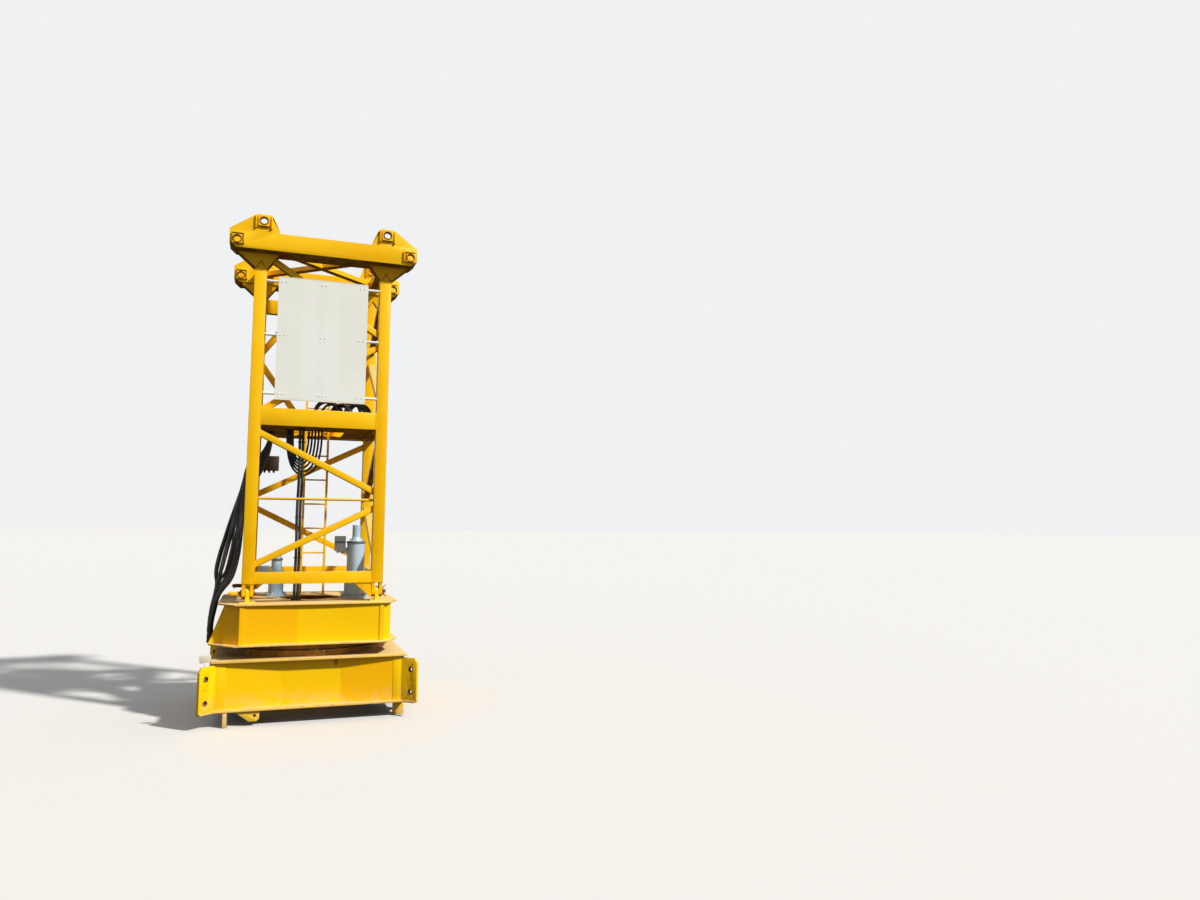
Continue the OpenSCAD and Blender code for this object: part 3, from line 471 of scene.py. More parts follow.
# On the two front webs the second pair of numbers is the X where the upright faces turn more orange.
own_marks = {"support_web_front": {"stain": (0.235, 0.575), "orange_band": (0.283, 0.287)},
             "platform_web_front": {"orange_band": (-0.148, -0.152)},
             "foot_plates": {"chips": 1.0, "wear": 1.0, "splash": 1.0, "rim": 0.5, "fresh": 0.0}}
edge_of = {"leg_": 0.009, "lower_beam_": 0.006, "mid_beam_": 0.006, "bracing_": 0.006, "head_beam_": 0.003,
           "head_plan_": 0.006, "corner_": 0.003, "foot_": 0.004, "lashing_": 0.003, "mast_lugs": 0.003,
           "support_bottom": 0.003, "support_top": 0.003, "platform_bottom": 0.003,
           "platform_top": 0.003, "mid_deck": 0.002, "ladder": 0.002}
for part, nodes in yellow_nodes.items():
    for node in nodes:
        paint = yellow_paint("yellow_" + node, **{**share_of[part], **own_marks.get(node, {})})
        dress(node, paint)
        width = next((w for start, w in edge_of.items() if node.startswith(start)), 0)
        if width:
            steel = rounded(node, width)
            steel.data.materials.append(paint)
print("pieces in yellow:", paint_count)

# %% [markdown]
# ## The other finishes
#
# The slewing ring is bare steel under old grease and dust, and the pins are rusty. The drives
# wear a grey-blue paint, the board a plain off-white, the junction box a dark brown, and the
# cable sheaths are black rubber with dust on them. Each is made from the same few masks, at its
# own scale.

# %% Bare steel of the ring, the pins and the collars
RING_DARK, RING_BROWN = ink(112, 74, 20), ink(176, 120, 22)
RUSTY_DARK, RUSTY_PALE = ink(84, 48, 26), ink(146, 96, 50)
SPRAYED_X, SPRAYED_Y = (-0.715, -0.735), (-0.3, -0.4)


def greasy_steel(name, dark, brown, rough=0.6):
    """Steel under a brown film, with level smears and with dust on what faces up."""
    f = Finish(name)
    cloud = f.noise(5.0, 4.0, 0.6)
    mottle = f.noise(38.0, 4.0, 0.65)
    smear = f.noise(1.0, 3.0, 0.5, f.stretched((7, 7, 44)))
    lying = f.facing.part("Z").rise(0.4, 0.9)
    tone = f.mix((cloud * 0.6 + mottle * 0.4).rise(0.40, 0.62), dark, brown)
    tone = f.mix(smear.rise(0.5, 0.75) * 0.5, tone, GRIME)
    tone = f.mix(lying * cloud.rise(0.3, 0.6) * 0.6, tone, DUST)
    gloss = rough + (mottle - 0.5) * 0.35 + lying * 0.15
    skin = f.bump(mottle * 0.8 + cloud * 0.4, 0.0016, 0.7)
    return f.close(tone, gloss, skin, 0.35)


def pin_steel(name):
    """Rusty steel whose long nose at the front left was sprayed with the leg beside it."""
    f = Finish(name)
    cloud = f.noise(14.0, 4.0, 0.6)
    mottle = f.noise(60.0, 4.0, 0.65)
    x, y = f.place.part("X"), f.place.part("Y")
    sprayed = x.rise(*SPRAYED_X) * y.rise(*SPRAYED_Y) * (mottle + 0.35).rise(0.5, 0.8)
    tone = f.mix((cloud * 0.6 + mottle * 0.4).rise(0.40, 0.62), RUSTY_DARK, RUSTY_PALE)
    tone = f.mix(sprayed, tone, YELLOW_DEEP)
    return f.close(tone, 0.7 - sprayed * 0.25, f.bump(mottle + cloud * 0.5, 0.0014, 0.7))


# %% Grey-blue paint of the drives
MOTOR = ink(156, 186, 212)
MOTOR_PALE = ink(186, 210, 228)
# The dark colour of the band of painted shade under the cover.
MOTOR_SHADE = ink(62, 70, 74)
# Heights between which the painted highlight on the drives grows paler.
PAINTED_LIGHT_HEIGHT = (1.2, 1.9)
# The band of painted shade under the cover: its height and its soft edge.
SHADE_BAND, SHADE_BAND_EDGE = 0.022, 0.001


def drive_paint(name, cover):
    """Grey-blue paint with a painted highlight that grows paler towards the top, and a band of painted
    shade under the cover for the vent slots.
    """
    f = Finish(name)
    cloud = f.noise(6.0, 3.0, 0.5)
    mottle = f.noise(46.0, 3.0, 0.6)
    streak = f.noise(1.0, 4.0, 0.6, f.stretched((60, 60, 4)))
    up = f.facing.part("Z")
    lying = up.rise(0.35, 0.9)
    z = f.place.part("Z")
    foot = cover - SHADE_BAND
    band = z.rise(foot - SHADE_BAND_EDGE, foot + SHADE_BAND_EDGE) * z.rise(cover + SHADE_BAND_EDGE, cover - SHADE_BAND_EDGE)
    # A random cloudy tone, plus a painted highlight that grows paler towards the top.
    tone = f.mix(cloud.rise(0.35, 0.7) * 0.6 + z.rise(*PAINTED_LIGHT_HEIGHT) * 0.4, MOTOR, MOTOR_PALE)
    # Painted shade: a dark band under the cover stands for the vent slots.
    tone = f.mix(band * 0.85, tone, MOTOR_SHADE)
    tone = f.mix(streak.rise(0.58, 0.8) * 0.35, tone, GRIME)
    tone = f.mix(lying * (0.45 + mottle * 0.5), tone, DUST)
    gloss = 0.38 + lying * 0.4 + (mottle - 0.5) * 0.2
    return f.close(tone, gloss, f.bump(mottle, 0.0008, 0.5))


# %% Off-white paint of the board
WHITE = ink(238, 240, 233)
WHITE_SOILED = ink(222, 222, 212)
WHITE_STRIP = ink(247, 247, 242)
WHITE_RIM = ink(206, 190, 146)
STRIPS_MIDDLE, STRIP_PLACE, STRIP_HALF = -0.02, 0.12, (0.085, 0.075)
SOIL_WIDTH = 0.022


def board_paint(name, low, high):
    """Off-white sheet with the faint bands of old strips and some soil at its edges."""
    f = Finish(name)
    x, z = f.place.part("X"), f.place.part("Z")
    cloud = f.noise(1.8, 3.0, 0.5)
    mottle = f.noise(30.0, 3.0, 0.6)
    streak = f.noise(1.0, 4.0, 0.6, f.stretched((26, 26, 0.9)))
    side = (x - low[0]).least(high[0] - x)
    end = (z - low[2]).least(high[2] - z)
    rim = (side.least(end) + (mottle - 0.5) * 0.03).rise(SOIL_WIDTH, 0.0) * 0.5
    band = abs(abs(x - STRIPS_MIDDLE) - STRIP_PLACE).rise(*STRIP_HALF) * 0.2
    tone = f.mix(cloud.rise(0.3, 0.7) * 0.35, WHITE, WHITE_SOILED)
    tone = f.mix(band, tone, WHITE_STRIP)
    tone = f.mix(streak.rise(0.55, 0.8) * 0.22, tone, WHITE_SOILED)
    tone = f.mix(rim, tone, WHITE_RIM)
    gloss = 0.42 + cloud * 0.12 + rim * 0.2
    wavy = f.bump(f.noise(2.2, 1.0, 0.4), 0.01, 0.25)
    return f.close(tone, gloss, f.bump(mottle, 0.0006, 0.4, wavy))


# %% Rubber of the cables, and the junction box's brown
RUBBER = ink(34, 34, 37)
RUBBER_DUSTY = ink(98, 90, 80)
BOX_BROWN, BOX_DARK = ink(82, 58, 38), ink(58, 44, 34)


def dusty_rubber(name, dust=0.6):
    """Black rubber whose upper side is grey with dust."""
    f = Finish(name)
    cloud = f.noise(4.0, 3.0, 0.6)
    mottle = f.noise(70.0, 3.0, 0.6)
    lying = f.facing.part("Z").rise(-0.1, 0.9)
    dusty = ((cloud * 0.6 + mottle * 0.4).rise(0.38, 0.7) * (0.25 + lying * 0.75)) * dust
    tone = f.mix(dusty, RUBBER, RUBBER_DUSTY)
    return f.close(tone, 0.48 + dusty * 0.4, f.bump(mottle, 0.0006, 0.5))


def box_paint(name):
    """Dark brown paint with specks of rust."""
    f = Finish(name)
    cloud = f.noise(7.0, 4.0, 0.6)
    mottle = f.noise(55.0, 3.0, 0.6)
    lying = f.facing.part("Z").rise(0.4, 0.9)
    tone = f.mix((cloud * 0.7 + mottle * 0.3).rise(0.4, 0.65), BOX_BROWN, BOX_DARK)
    tone = f.mix((mottle * 0.6 + cloud * 0.4).rise(0.58, 0.68) * 0.7, tone, RUST)
    tone = f.mix(lying * 0.7, tone, DUST)
    return f.close(tone, 0.62 + (mottle - 0.5) * 0.2, f.bump(mottle, 0.001, 0.5))


# %% Each fitting gets its finish
COVER_RIGHT, COVER_LEFT = 1.794, 1.594
ring_finish = greasy_steel("greasy_ring_steel", RING_DARK, RING_BROWN)
pin_finish = pin_steel("foot_pin_steel")
rusty_finish = greasy_steel("rusty_pin_steel", RUSTY_DARK, RUSTY_PALE, 0.75)
drive_right_finish = drive_paint("drive_right_grey_blue", COVER_RIGHT)
drive_left_finish = drive_paint("drive_left_grey_blue", COVER_LEFT)
board_finish = board_paint("board_off_white", *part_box("sign_board"))
rubber_finish = dusty_rubber("cable_rubber")
plug_finish = dusty_rubber("plug_rubber", 0.9)
box_finish = box_paint("box_brown")
finish_of = {
    "slewing_ring_fixed": ring_finish, "slewing_ring_rotating": ring_finish, "mast_pins": pin_finish,
    "slew_drive_left": drive_left_finish, "slew_drive_right": drive_right_finish,
    "sign_board": board_finish, "junction_box": box_finish,
}
for node, material in finish_of.items():
    dress(node, material)
print("fittings with a finish of their own:", len(finish_of))

# %% [markdown]
# ## Cables
#
# Slack loops, a riser and a thick bundle hang from the deck, and coils stand on it. Each cable is
# a curve through a few points, with a round section, because a curve keeps one thickness and one
# length. The loops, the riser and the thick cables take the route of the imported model's own plain
# tubes, in metres. The coils and the thin cables stand only here. The loops under the deck were
# left slack when the upper part was taken off.

# %% A cable along a list of points
DECK_UNDERSIDE, DECK_TOP = (corner.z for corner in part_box("mid_deck"))
BEND_STEPS = 6


def cable(name, points, diameter, node):
    """A free cable along points, from its exit to its far end, as one smooth curve."""
    data = bpy.data.curves.new(name, "CURVE")
    data.dimensions = "3D"
    data.bevel_depth = diameter / 2
    data.bevel_resolution = 3
    data.resolution_u = BEND_STEPS
    data.use_fill_caps = True
    spline = data.splines.new("BEZIER")
    spline.bezier_points.add(len(points) - 1)
    for knot, point in zip(spline.bezier_points, points):
        knot.co = point
        knot.handle_left_type = knot.handle_right_type = "AUTO"
    made = bpy.data.objects.new(name, data)
    bpy.context.scene.collection.objects.link(made)
    data.materials.append(rubber_finish)
    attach(made, UPPER)
    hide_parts(node)


# %% The slack loops under the deck
LOOP_PROFILE = [(1.00, 0.00), (1.00, 0.15), (0.98, 0.32), (0.93, 0.50), (0.83, 0.67),
                (0.67, 0.82), (0.46, 0.92), (0.23, 0.98), (0.00, 1.00)]
LOOP_COUNT, LOOP_DIAMETER = 5, 0.022
LOOP_X, LOOP_X_STEP = -0.130, -0.009
LOOP_HALF_WIDTH, LOOP_WIDTH_STEP = 0.180, 0.024
LOOP_DROP, LOOP_DROP_STEP = 0.500, 0.042
LOOP_Y, LOOP_Y_STEP = -0.260, 0.030

for i in range(LOOP_COUNT):
    half, drop = LOOP_HALF_WIDTH - i * LOOP_WIDTH_STEP, LOOP_DROP - i * LOOP_DROP_STEP
    middle = LOOP_X + i * LOOP_X_STEP
    y = LOOP_Y + i * LOOP_Y_STEP
    left = [(middle - half * w, y, DECK_UNDERSIDE - drop * d) for w, d in LOOP_PROFILE]
    right = [(middle + half * w, y, DECK_UNDERSIDE - drop * d) for w, d in reversed(LOOP_PROFILE[:-1])]
    cable(f"slack_loop_{i + 1}", left + right, LOOP_DIAMETER, "cable_loops")

# %% [markdown]
# ## Coils on the deck
#
# Spare cable stands on the deck in coils, and its tops show over the front beam. A coil is a helix
# whose radius swells and shrinks a little as it turns, because no coil made by hand is even. Both
# of its ends dip into the deck, so that no cut end hangs in the air.

# %% The coils that stand on the deck behind the front beam
COIL_DIAMETER, COIL_KNOTS, COIL_PITCH = 0.022, 14, 0.026
COIL_SWELL, COIL_SWELL_TURN, COIL_NARROW, COIL_SINK = 0.10, 1.4, 0.92, 0.006
# The middle's x and the first turn's y, the radius, and the number of turns
COILS = [(0.075, -0.530, 0.126, 3), (0.145, -0.440, 0.120, 2), (0.235, -0.515, 0.114, 3),
         (0.320, -0.430, 0.132, 2), (0.375, -0.535, 0.118, 3), (0.425, -0.450, 0.124, 3)]
for i, (x, y, radius, turns) in enumerate(COILS):
    route = []
    middle_z = DECK_TOP + COIL_DIAMETER / 2 + radius * (1 + COIL_SWELL)
    for k in range(COIL_KNOTS * turns + 1):
        turn = 2 * math.pi * k / COIL_KNOTS
        reach = radius * (1 + COIL_SWELL * math.sin(COIL_SWELL_TURN * turn + i))
        route.append((x + reach * math.sin(turn) * COIL_NARROW, y + COIL_PITCH * k / COIL_KNOTS,
                      middle_z - reach * math.cos(turn)))
    for end in (0, -1):
        route[end] = (route[end][0], route[end][1], DECK_TOP - COIL_SINK)
    cable(f"deck_coil_{i + 1}", route, COIL_DIAMETER, "cable_loops")

# %% [markdown]
# ## The riser
#
# Four straight cables run from the deck down to the platform. Each one sways by a few millimetres
# on its way, in the same places as its neighbours, because they are tied together.

# %% The four cables of the riser
RISER_X, RISER_Y, RISER_PITCH, RISER_DIAMETER = -0.165, -0.390, 0.032, 0.028
RISER_SWAY = [(0.0, 0.0), (0.0, 0.0), (0.002, -0.002), (0.003, 0.001), (-0.002, 0.003),
              (-0.003, -0.001), (0.001, -0.003), (0.002, 0.001), (0.0, 0.0), (0.0, 0.0)]
GLAND_HEIGHT = 0.045
gland_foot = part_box("riser_cables")[0].z
gland_top = gland_foot + GLAND_HEIGHT
HALVES = (-0.5, 0.5)
riser_places = [(RISER_X + i * RISER_PITCH, RISER_Y + j * RISER_PITCH) for i in HALVES for j in HALVES]
for i, (x, y) in enumerate(riser_places):
    fall = (gland_top - DECK_UNDERSIDE) / (len(RISER_SWAY) - 1)
    route = [(x + sway[0], y + sway[1], DECK_UNDERSIDE + fall * k) for k, sway in enumerate(RISER_SWAY)]
    cable(f"riser_cable_{i + 1}", route, RISER_DIAMETER, "riser_cables")

# %% [markdown]
# ## The hanging bundle
#
# Eleven thick cables and ten thin ones leave the deck on the left, bend over the side's sloping
# bar, and hang down outside, past the platform. They share one route, which moves along the bar
# from cable to cable. Its heights are shares of the drop inside and outside the bar, so that the
# bend follows the slope. The thin cables lie in the valleys between the thick ones. Each cable
# fans out by a distance of its own, because a curtain of equal strands would look combed.

# %% The route over the side bar
HANGING_INSIDE = [(-0.480, 0), (-0.480, 0.10), (-0.490, 0.25), (-0.510, 0.42), (-0.543, 0.60),
                  (-0.586, 0.77), (-0.634, 0.90)]
HANGING_OUTSIDE = [(-0.708, 1.03), (-0.731, 1.08), (-0.760, 1.15), (-0.794, 1.24), (-0.832, 1.34),
                   (-0.871, 1.45), (-0.908, 1.56), (-0.940, 1.67), (-0.966, 1.78), (-0.987, 1.87),
                   (-1.008, 1.94), (-1.018, 2.00)]
HANGING_SPREAD = [0, 0.06, 0.20, 0.42, 0.66, 0.86, 0.97, 0.85, 0.15, 0.05, 0, 0]
HANGING_Y, HANGING_PITCH = 0.062, 0.044
EDGE_X, SEAT = -0.68515, 0.010610
BAR_TOP_Z, BAR_FALL, BAR_Y, BAR_HALF = 2.946, 0.503125, 0.640, 0.036942
VALLEY_ASIDE, VALLEY_ABOVE = 0.8, 0.6


def hanging_route(place, end_z, fan, inward=0.0, valley=0.0):
    """From the deck over the bar and down to end_z. A place along the bar is counted in cables."""
    y = HANGING_Y + place * HANGING_PITCH
    edge_z = BAR_TOP_Z - BAR_FALL * (y + BAR_Y) + BAR_HALF + SEAT
    inside = [(x + inward, y, DECK_UNDERSIDE + (edge_z - DECK_UNDERSIDE) * share)
              for x, share in HANGING_INSIDE]
    bend = (EDGE_X - valley * VALLEY_ASIDE, y, edge_z + valley * VALLEY_ABOVE)
    outside = [(x - valley + fan * spread, y, edge_z + (end_z - edge_z) * (share - 1))
               for (x, share), spread in zip(HANGING_OUTSIDE, HANGING_SPREAD)]
    return inside + [bend] + outside


# %% A plug, and a cable that hangs with one
PLUG_RADIUS, PLUG_GRIP, PLUG_RING, PLUG_END = 0.023, 0.028, 0.080, 0.110
RIB_COUNT, RIB_START, RIB_PITCH, RIB_HEIGHT = 4, 0.008, 0.011, 0.006


def add_plug(bm, x, y, z, scale):
    """A cable plug: a ribbed grip under its strain relief, and a metal-ringed socket end."""
    grip, ring, end = (z - scale * drop for drop in (PLUG_GRIP, PLUG_RING, PLUG_END))
    radius = PLUG_RADIUS * scale
    add_rod(bm, (x, y, grip), (x, y, z), radius * 0.94, 20, radius * 0.82)
    add_rod(bm, (x, y, ring), (x, y, grip), radius * 0.90, 20)
    for k in range(RIB_COUNT):
        rib = ring + scale * (RIB_START + RIB_PITCH * k)
        add_rod(bm, (x, y, rib), (x, y, rib + scale * RIB_HEIGHT), radius, 20)
    add_rod(bm, (x, y, end), (x, y, ring), radius * 0.97, 20)


def hang(name, plug_name, route, diameter, scale=1.0):
    """A cable along a route, with its plug at the lower end."""
    bm = bmesh.new()
    add_plug(bm, *route[-1], scale)
    plug = piece(bm, plug_name, UPPER, plug_finish)
    cable(name, route, diameter, "cable_bundle")


# %% The thick cables of the bundle
HANGING_DIAMETER = 0.034
HANGING_FAN = [0.120, 0.020, 0.147, -0.040, 0.090, 0, 0.135, -0.062, 0.060, 0.105, -0.020]
END_Z, END_STEP = 0.815, 0.120
for i, fan in enumerate(HANGING_FAN):
    route = hanging_route(i, END_Z + (i % 2) * END_STEP, fan)
    hang(f"hanging_cable_{i + 1}", f"plug_{i + 1}", route, HANGING_DIAMETER)

# %% Thin control cables in the valleys between the thick ones
THIN_DIAMETER, THIN_PLUG, THIN_INWARD, VALLEY = 0.016, 0.55, 0.020, 0.012
THIN_FAN = [0.075, 0.105, 0.040, 0.128, 0.010, 0.085, -0.030, 0.118, 0.030, 0.060]
THIN_END_Z, THIN_END_STEP = END_Z + 0.06, 0.05
for i, fan in enumerate(THIN_FAN):
    route = hanging_route(i + 0.5, THIN_END_Z + (i % 3) * THIN_END_STEP, fan, THIN_INWARD, VALLEY)
    hang(f"thin_cable_{i + 1}", f"thin_plug_{i + 1}", route, THIN_DIAMETER, THIN_PLUG)

# %% [markdown]
# ## The gland at the foot of the riser
#
# The four risers go through the platform's top plate in one gland. The plain block of the imported
# node is replaced with its cables, so the gland is built again: a bolted flange, a rubber body and
# four short sleeves.

# %% The gland
FLANGE_HALF, FLANGE_THICK, FLANGE_EDGE = 0.050, 0.014, 0.002
BODY_HALF, BODY_EDGE, BODY_LAP = 0.036, 0.004, 0.002
SLEEVE_RADIUS, SLEEVE_LENGTH = 0.0158, 0.014
FLANGE_BOLT_PITCH, FLANGE_BOLT = 0.084, (0.012, 0.008)
flange_top = gland_foot + FLANGE_THICK
bm = bmesh.new()
add_block(bm, (RISER_X - FLANGE_HALF, RISER_Y - FLANGE_HALF, gland_foot),
          (RISER_X + FLANGE_HALF, RISER_Y + FLANGE_HALF, flange_top), FLANGE_EDGE)
add_block(bm, (RISER_X - BODY_HALF, RISER_Y - BODY_HALF, flange_top - BODY_LAP),
          (RISER_X + BODY_HALF, RISER_Y + BODY_HALF, gland_top - SLEEVE_LENGTH + BODY_LAP), BODY_EDGE)
for x, y in riser_places:
    add_rod(bm, (x, y, gland_top - SLEEVE_LENGTH), (x, y, gland_top), SLEEVE_RADIUS, 16)
for i in HALVES:
    for j in HALVES:
        bolt = (RISER_X + i * FLANGE_BOLT_PITCH, RISER_Y + j * FLANGE_BOLT_PITCH, flange_top)
        add_bolt(bm, bolt, (0, 0, 1), *FLANGE_BOLT)
gland = piece(bm, "riser_gland", UPPER, plug_finish)
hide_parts("riser_cables")

# %% [markdown]
# ## Weld beads
#
# The mast is one weldment: beams and bars run into the legs and stop there, and a bead of weld
# holds each end. A bead is a row of small overlapping scales. Here each scale is a short cone
# with six sides, wide where it starts and narrow where the next one covers it, which gives the
# ripple a real shape for the light at the cost of a few faces a step. Most lines of weld are
# worked out from the boxes of the steel that they join.

# %% A bead along a line
BEAD, BEAD_STEP, BEAD_LAP, BEAD_TAPER = 0.0042, 0.018, 1.15, 0.72


def add_bead(bm, points, quarter=0):
    """Weld scales along points, turned by quarters about the slewing axis."""
    turn = Matrix.Rotation(quarter * math.pi / 2, 3, "Z")
    points = [turn @ Vector(p) for p in points]
    for a, b in zip(points, points[1:]):
        count = max(1, round((b - a).length / BEAD_STEP))
        step = (b - a) / count
        row = bmesh.new()
        for k in range(count):
            start = a + step * k
            add_rod(row, start, start + step * BEAD_LAP, BEAD, 6, BEAD * BEAD_TAPER)
        add_mesh(bm, row)


def add_bead_round(bm, middle, wide, deep, z, quarter):
    """Round a flat rectangle whose middle lies on a diagonal of the platform."""
    corners = ((-1, -1), (1, -1), (1, 1), (-1, 1), (-1, -1))
    add_bead(bm, [(middle + i * wide, middle + j * deep, z) for i, j in corners], quarter)


# %% Where the mast's steel begins and ends
LEG_IN, MAST = (corner.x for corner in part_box("leg_front_right"))
LEG_CENTRE = (LEG_IN + MAST) / 2
LEG_FOOT, LOWER_TOP = (corner.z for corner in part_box("lower_beam_left"))
MID_LOW, MID_TOP = (corner.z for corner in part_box("mid_beam_front"))
BEAM_IN = -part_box("mid_beam_front")[1].y
BAR_OUT, BAR_IN = (-corner.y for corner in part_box("bracing_front"))
LOWER_BARS = [(2.946, 2.302), (1.534, 2.178)]
SIDE_UPPER_BARS = [(4.600, 4.052), (3.230, 3.928)]
FRONT_UPPER_BARS = [(4.830, 4.000), (3.120, 3.945)]


def beam_beads(bm, quarter, low, high):
    """Round both ends of a box beam, where it meets the legs."""
    for x in (-LEG_IN, LEG_IN):
        add_bead(bm, [(x, -MAST, low), (x, -MAST, high), (x, -BEAM_IN, high), (x, -BEAM_IN, low),
                      (x, -MAST, low)], quarter)


def bar_beads(bm, quarter, heights, mirrored):
    """Down both faces of a bar's ends. Its heights are those at the left and right legs' middles."""
    left, right = reversed(heights) if mirrored else heights
    slope = (right - left) / (2 * LEG_CENTRE)
    half = (BAR_OUT - BAR_IN) / 2 * math.hypot(1, slope)
    for x in (-LEG_IN, LEG_IN):
        z = left + slope * (x + LEG_CENTRE)
        for y in (-BAR_OUT, -BAR_IN):
            add_bead(bm, [(x, y, z - half), (x, y, z + half)], quarter)


# %% Beads on the mast
bm = bmesh.new()
for quarter, side in enumerate(SIDES):
    for low, high in ((LEG_FOOT, LOWER_TOP), (MID_LOW, MID_TOP)):
        beam_beads(bm, quarter, low, high)
    upper = {"front": FRONT_UPPER_BARS, "back": []}.get(side, SIDE_UPPER_BARS)
    for heights in LOWER_BARS + upper:
        bar_beads(bm, quarter, heights, side == "left")
piece(bm, "mast_welds", UPPER, bpy.data.materials["yellow_leg_front_left"])

# %% Beads on the head's funnels and their notches
FUNNEL_IN, FUNNEL_OUT, FUNNEL_PLATE = 0.470, 0.870, 0.012
NOTCH_EDGE, NOTCH_TOP = 0.012, 4.725
FUNNEL_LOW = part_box("head_beam_front")[0].z
HEAD_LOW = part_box("leg_front_left")[1].z
bm = bmesh.new()
for quarter in (0, 2):
    for side in (-1, 1):
        for y in (-MAST - FUNNEL_PLATE, FUNNEL_PLATE - LEG_IN):
            add_bead(bm, [(side * FUNNEL_IN, y, HEAD_LOW), (side * FUNNEL_OUT, y, HEAD_LOW)], quarter)
            for foot, top in ((MAST, FUNNEL_OUT), (LEG_IN, FUNNEL_IN)):
                add_bead(bm, [(side * foot, y, FUNNEL_LOW), (side * top, y, HEAD_LOW)], quarter)
piece(bm, "head_welds", UPPER, bpy.data.materials["yellow_head_beam_front"])

# The notch beads take the dark rusty finish, which is rust and also a painted shade in the V notch.
bm = bmesh.new()
for quarter in (0, 2):
    for side in (-1, 1):
        for y in (-MAST - FUNNEL_PLATE / 2, FUNNEL_PLATE / 2 - LEG_IN):
            notch = [(LEG_IN + NOTCH_EDGE, FUNNEL_LOW), (LEG_CENTRE, NOTCH_TOP),
                     (MAST - NOTCH_EDGE, FUNNEL_LOW)]
            add_bead(bm, [(side * x, y, z) for x, z in notch], quarter)
piece(bm, "notch_welds", UPPER, rusty_finish)

# %% Beads on the platform and the mast's lugs
PLATFORM_LOW, PLATFORM_TOP = (corner.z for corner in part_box("platform_drum"))
PLATE_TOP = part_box("platform_top_plate")[1].z
FLAT = -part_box("platform_web_back")[0].x
RIGHT, WEB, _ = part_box("platform_web_back")[1]
FOLD, FOLD_IN = 0.150, 0.012
LUG_PAD_HALF, LUG_PAD_THICK, LUG_HALF, LUG_EYE = 0.075, 0.012, 0.020, 0.055
platform_line = [
    (-WEB, -FLAT), (-FLAT, -WEB), (-FOLD, FOLD_IN - WEB), (FOLD, FOLD_IN - WEB),
    (FLAT, -WEB), (RIGHT, RIGHT - FLAT - WEB), (RIGHT - FOLD_IN, -FOLD), (RIGHT - FOLD_IN, FOLD),
    (RIGHT, WEB + FLAT - RIGHT), (FLAT, WEB), (FOLD, WEB - FOLD_IN), (-FOLD, WEB - FOLD_IN),
    (-FLAT, WEB), (-WEB, FLAT), (FOLD_IN - WEB, FOLD), (FOLD_IN - WEB, -FOLD), (-WEB, -FLAT)]
bm = bmesh.new()
for z in (PLATFORM_LOW, PLATFORM_TOP):
    add_bead(bm, [(x, y, z) for x, y in platform_line])
for quarter in range(4):
    add_bead_round(bm, -LEG_CENTRE, LUG_PAD_HALF, LUG_PAD_HALF, PLATE_TOP, quarter)
    wide, deep = (LUG_HALF, LUG_EYE) if quarter % 2 == 0 else (LUG_EYE, LUG_HALF)
    add_bead_round(bm, -LEG_CENTRE, wide, deep, PLATE_TOP + LUG_PAD_THICK, quarter)
piece(bm, "platform_welds", UPPER, bpy.data.materials["yellow_platform_web_front"])

# %% Beads on the support
SUPPORT_LOW, SUPPORT_TOP = (corner.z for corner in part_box("support_drum"))
CORNER = -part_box("support_web_front")[0].y
CORNER_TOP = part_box("corner_plates")[1].z
SUPPORT_FOLD, SUPPORT_FOLD_Y, PLATE_HALF = 0.285, 0.850, 0.015
plate_side = PLATE_HALF * math.sqrt(2)
bm = bmesh.new()
for quarter in range(4):
    for z in (SUPPORT_LOW, SUPPORT_TOP):
        add_bead(bm, [(-CORNER, -CORNER, z), (-SUPPORT_FOLD, -SUPPORT_FOLD_Y, z),
                      (SUPPORT_FOLD, -SUPPORT_FOLD_Y, z), (CORNER, -CORNER, z)], quarter)
    for x, y in ((-CORNER, plate_side - CORNER), (plate_side - CORNER, -CORNER)):
        add_bead(bm, [(x, y, SUPPORT_LOW), (x, y, CORNER_TOP)], quarter)
piece(bm, "support_welds", LOWER, bpy.data.materials["yellow_support_web_front"])

# %% [markdown]
# ## Collars, and the ring's seal
#
# Every pin hole has a steel collar pressed into its plate. The paint never stays on it, so it
# rusts. A rubber lip closes the gap between the two halves of the slewing ring, with a grease
# nipple every thirty degrees below it. Collars and seal are turned parts, so an outline that is
# spun about an axis makes them with the fewest numbers.

# %% Collars in the pin holes of the head
LUG_HOLES = [(0.626, 5.097), (0.876, 4.880)]
LUG_BORE, CORNER_BORE, LAST_STEP = 0.0348, 0.0198, 0.0001
# Each outline goes by radius and height: up the bore, over the lip on the plate, and back
LUG_COLLAR = [(LUG_BORE, -0.045), (LUG_BORE, 0.003), (0.044, 0.003), (0.046, 0.001), (0.046, -0.001),
              (LUG_BORE + LAST_STEP, -0.001)]
CORNER_COLLAR = [(CORNER_BORE, -0.014), (CORNER_BORE, 0.002), (0.028, 0.002), (0.028, -0.001),
                 (CORNER_BORE + LAST_STEP, -0.001)]
lug_faces = [-corner.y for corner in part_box("head_beam_front")]
bm = bmesh.new()
for end in (-1, 1):
    for side in (-1, 1):
        for x, z in LUG_HOLES:
            for face, out in zip(lug_faces, (1, -1)):
                add_turned(bm, LUG_COLLAR, (side * x, end * face, z), (0, end * out, 0))
piece(bm, "lug_collars", UPPER, rusty_finish)

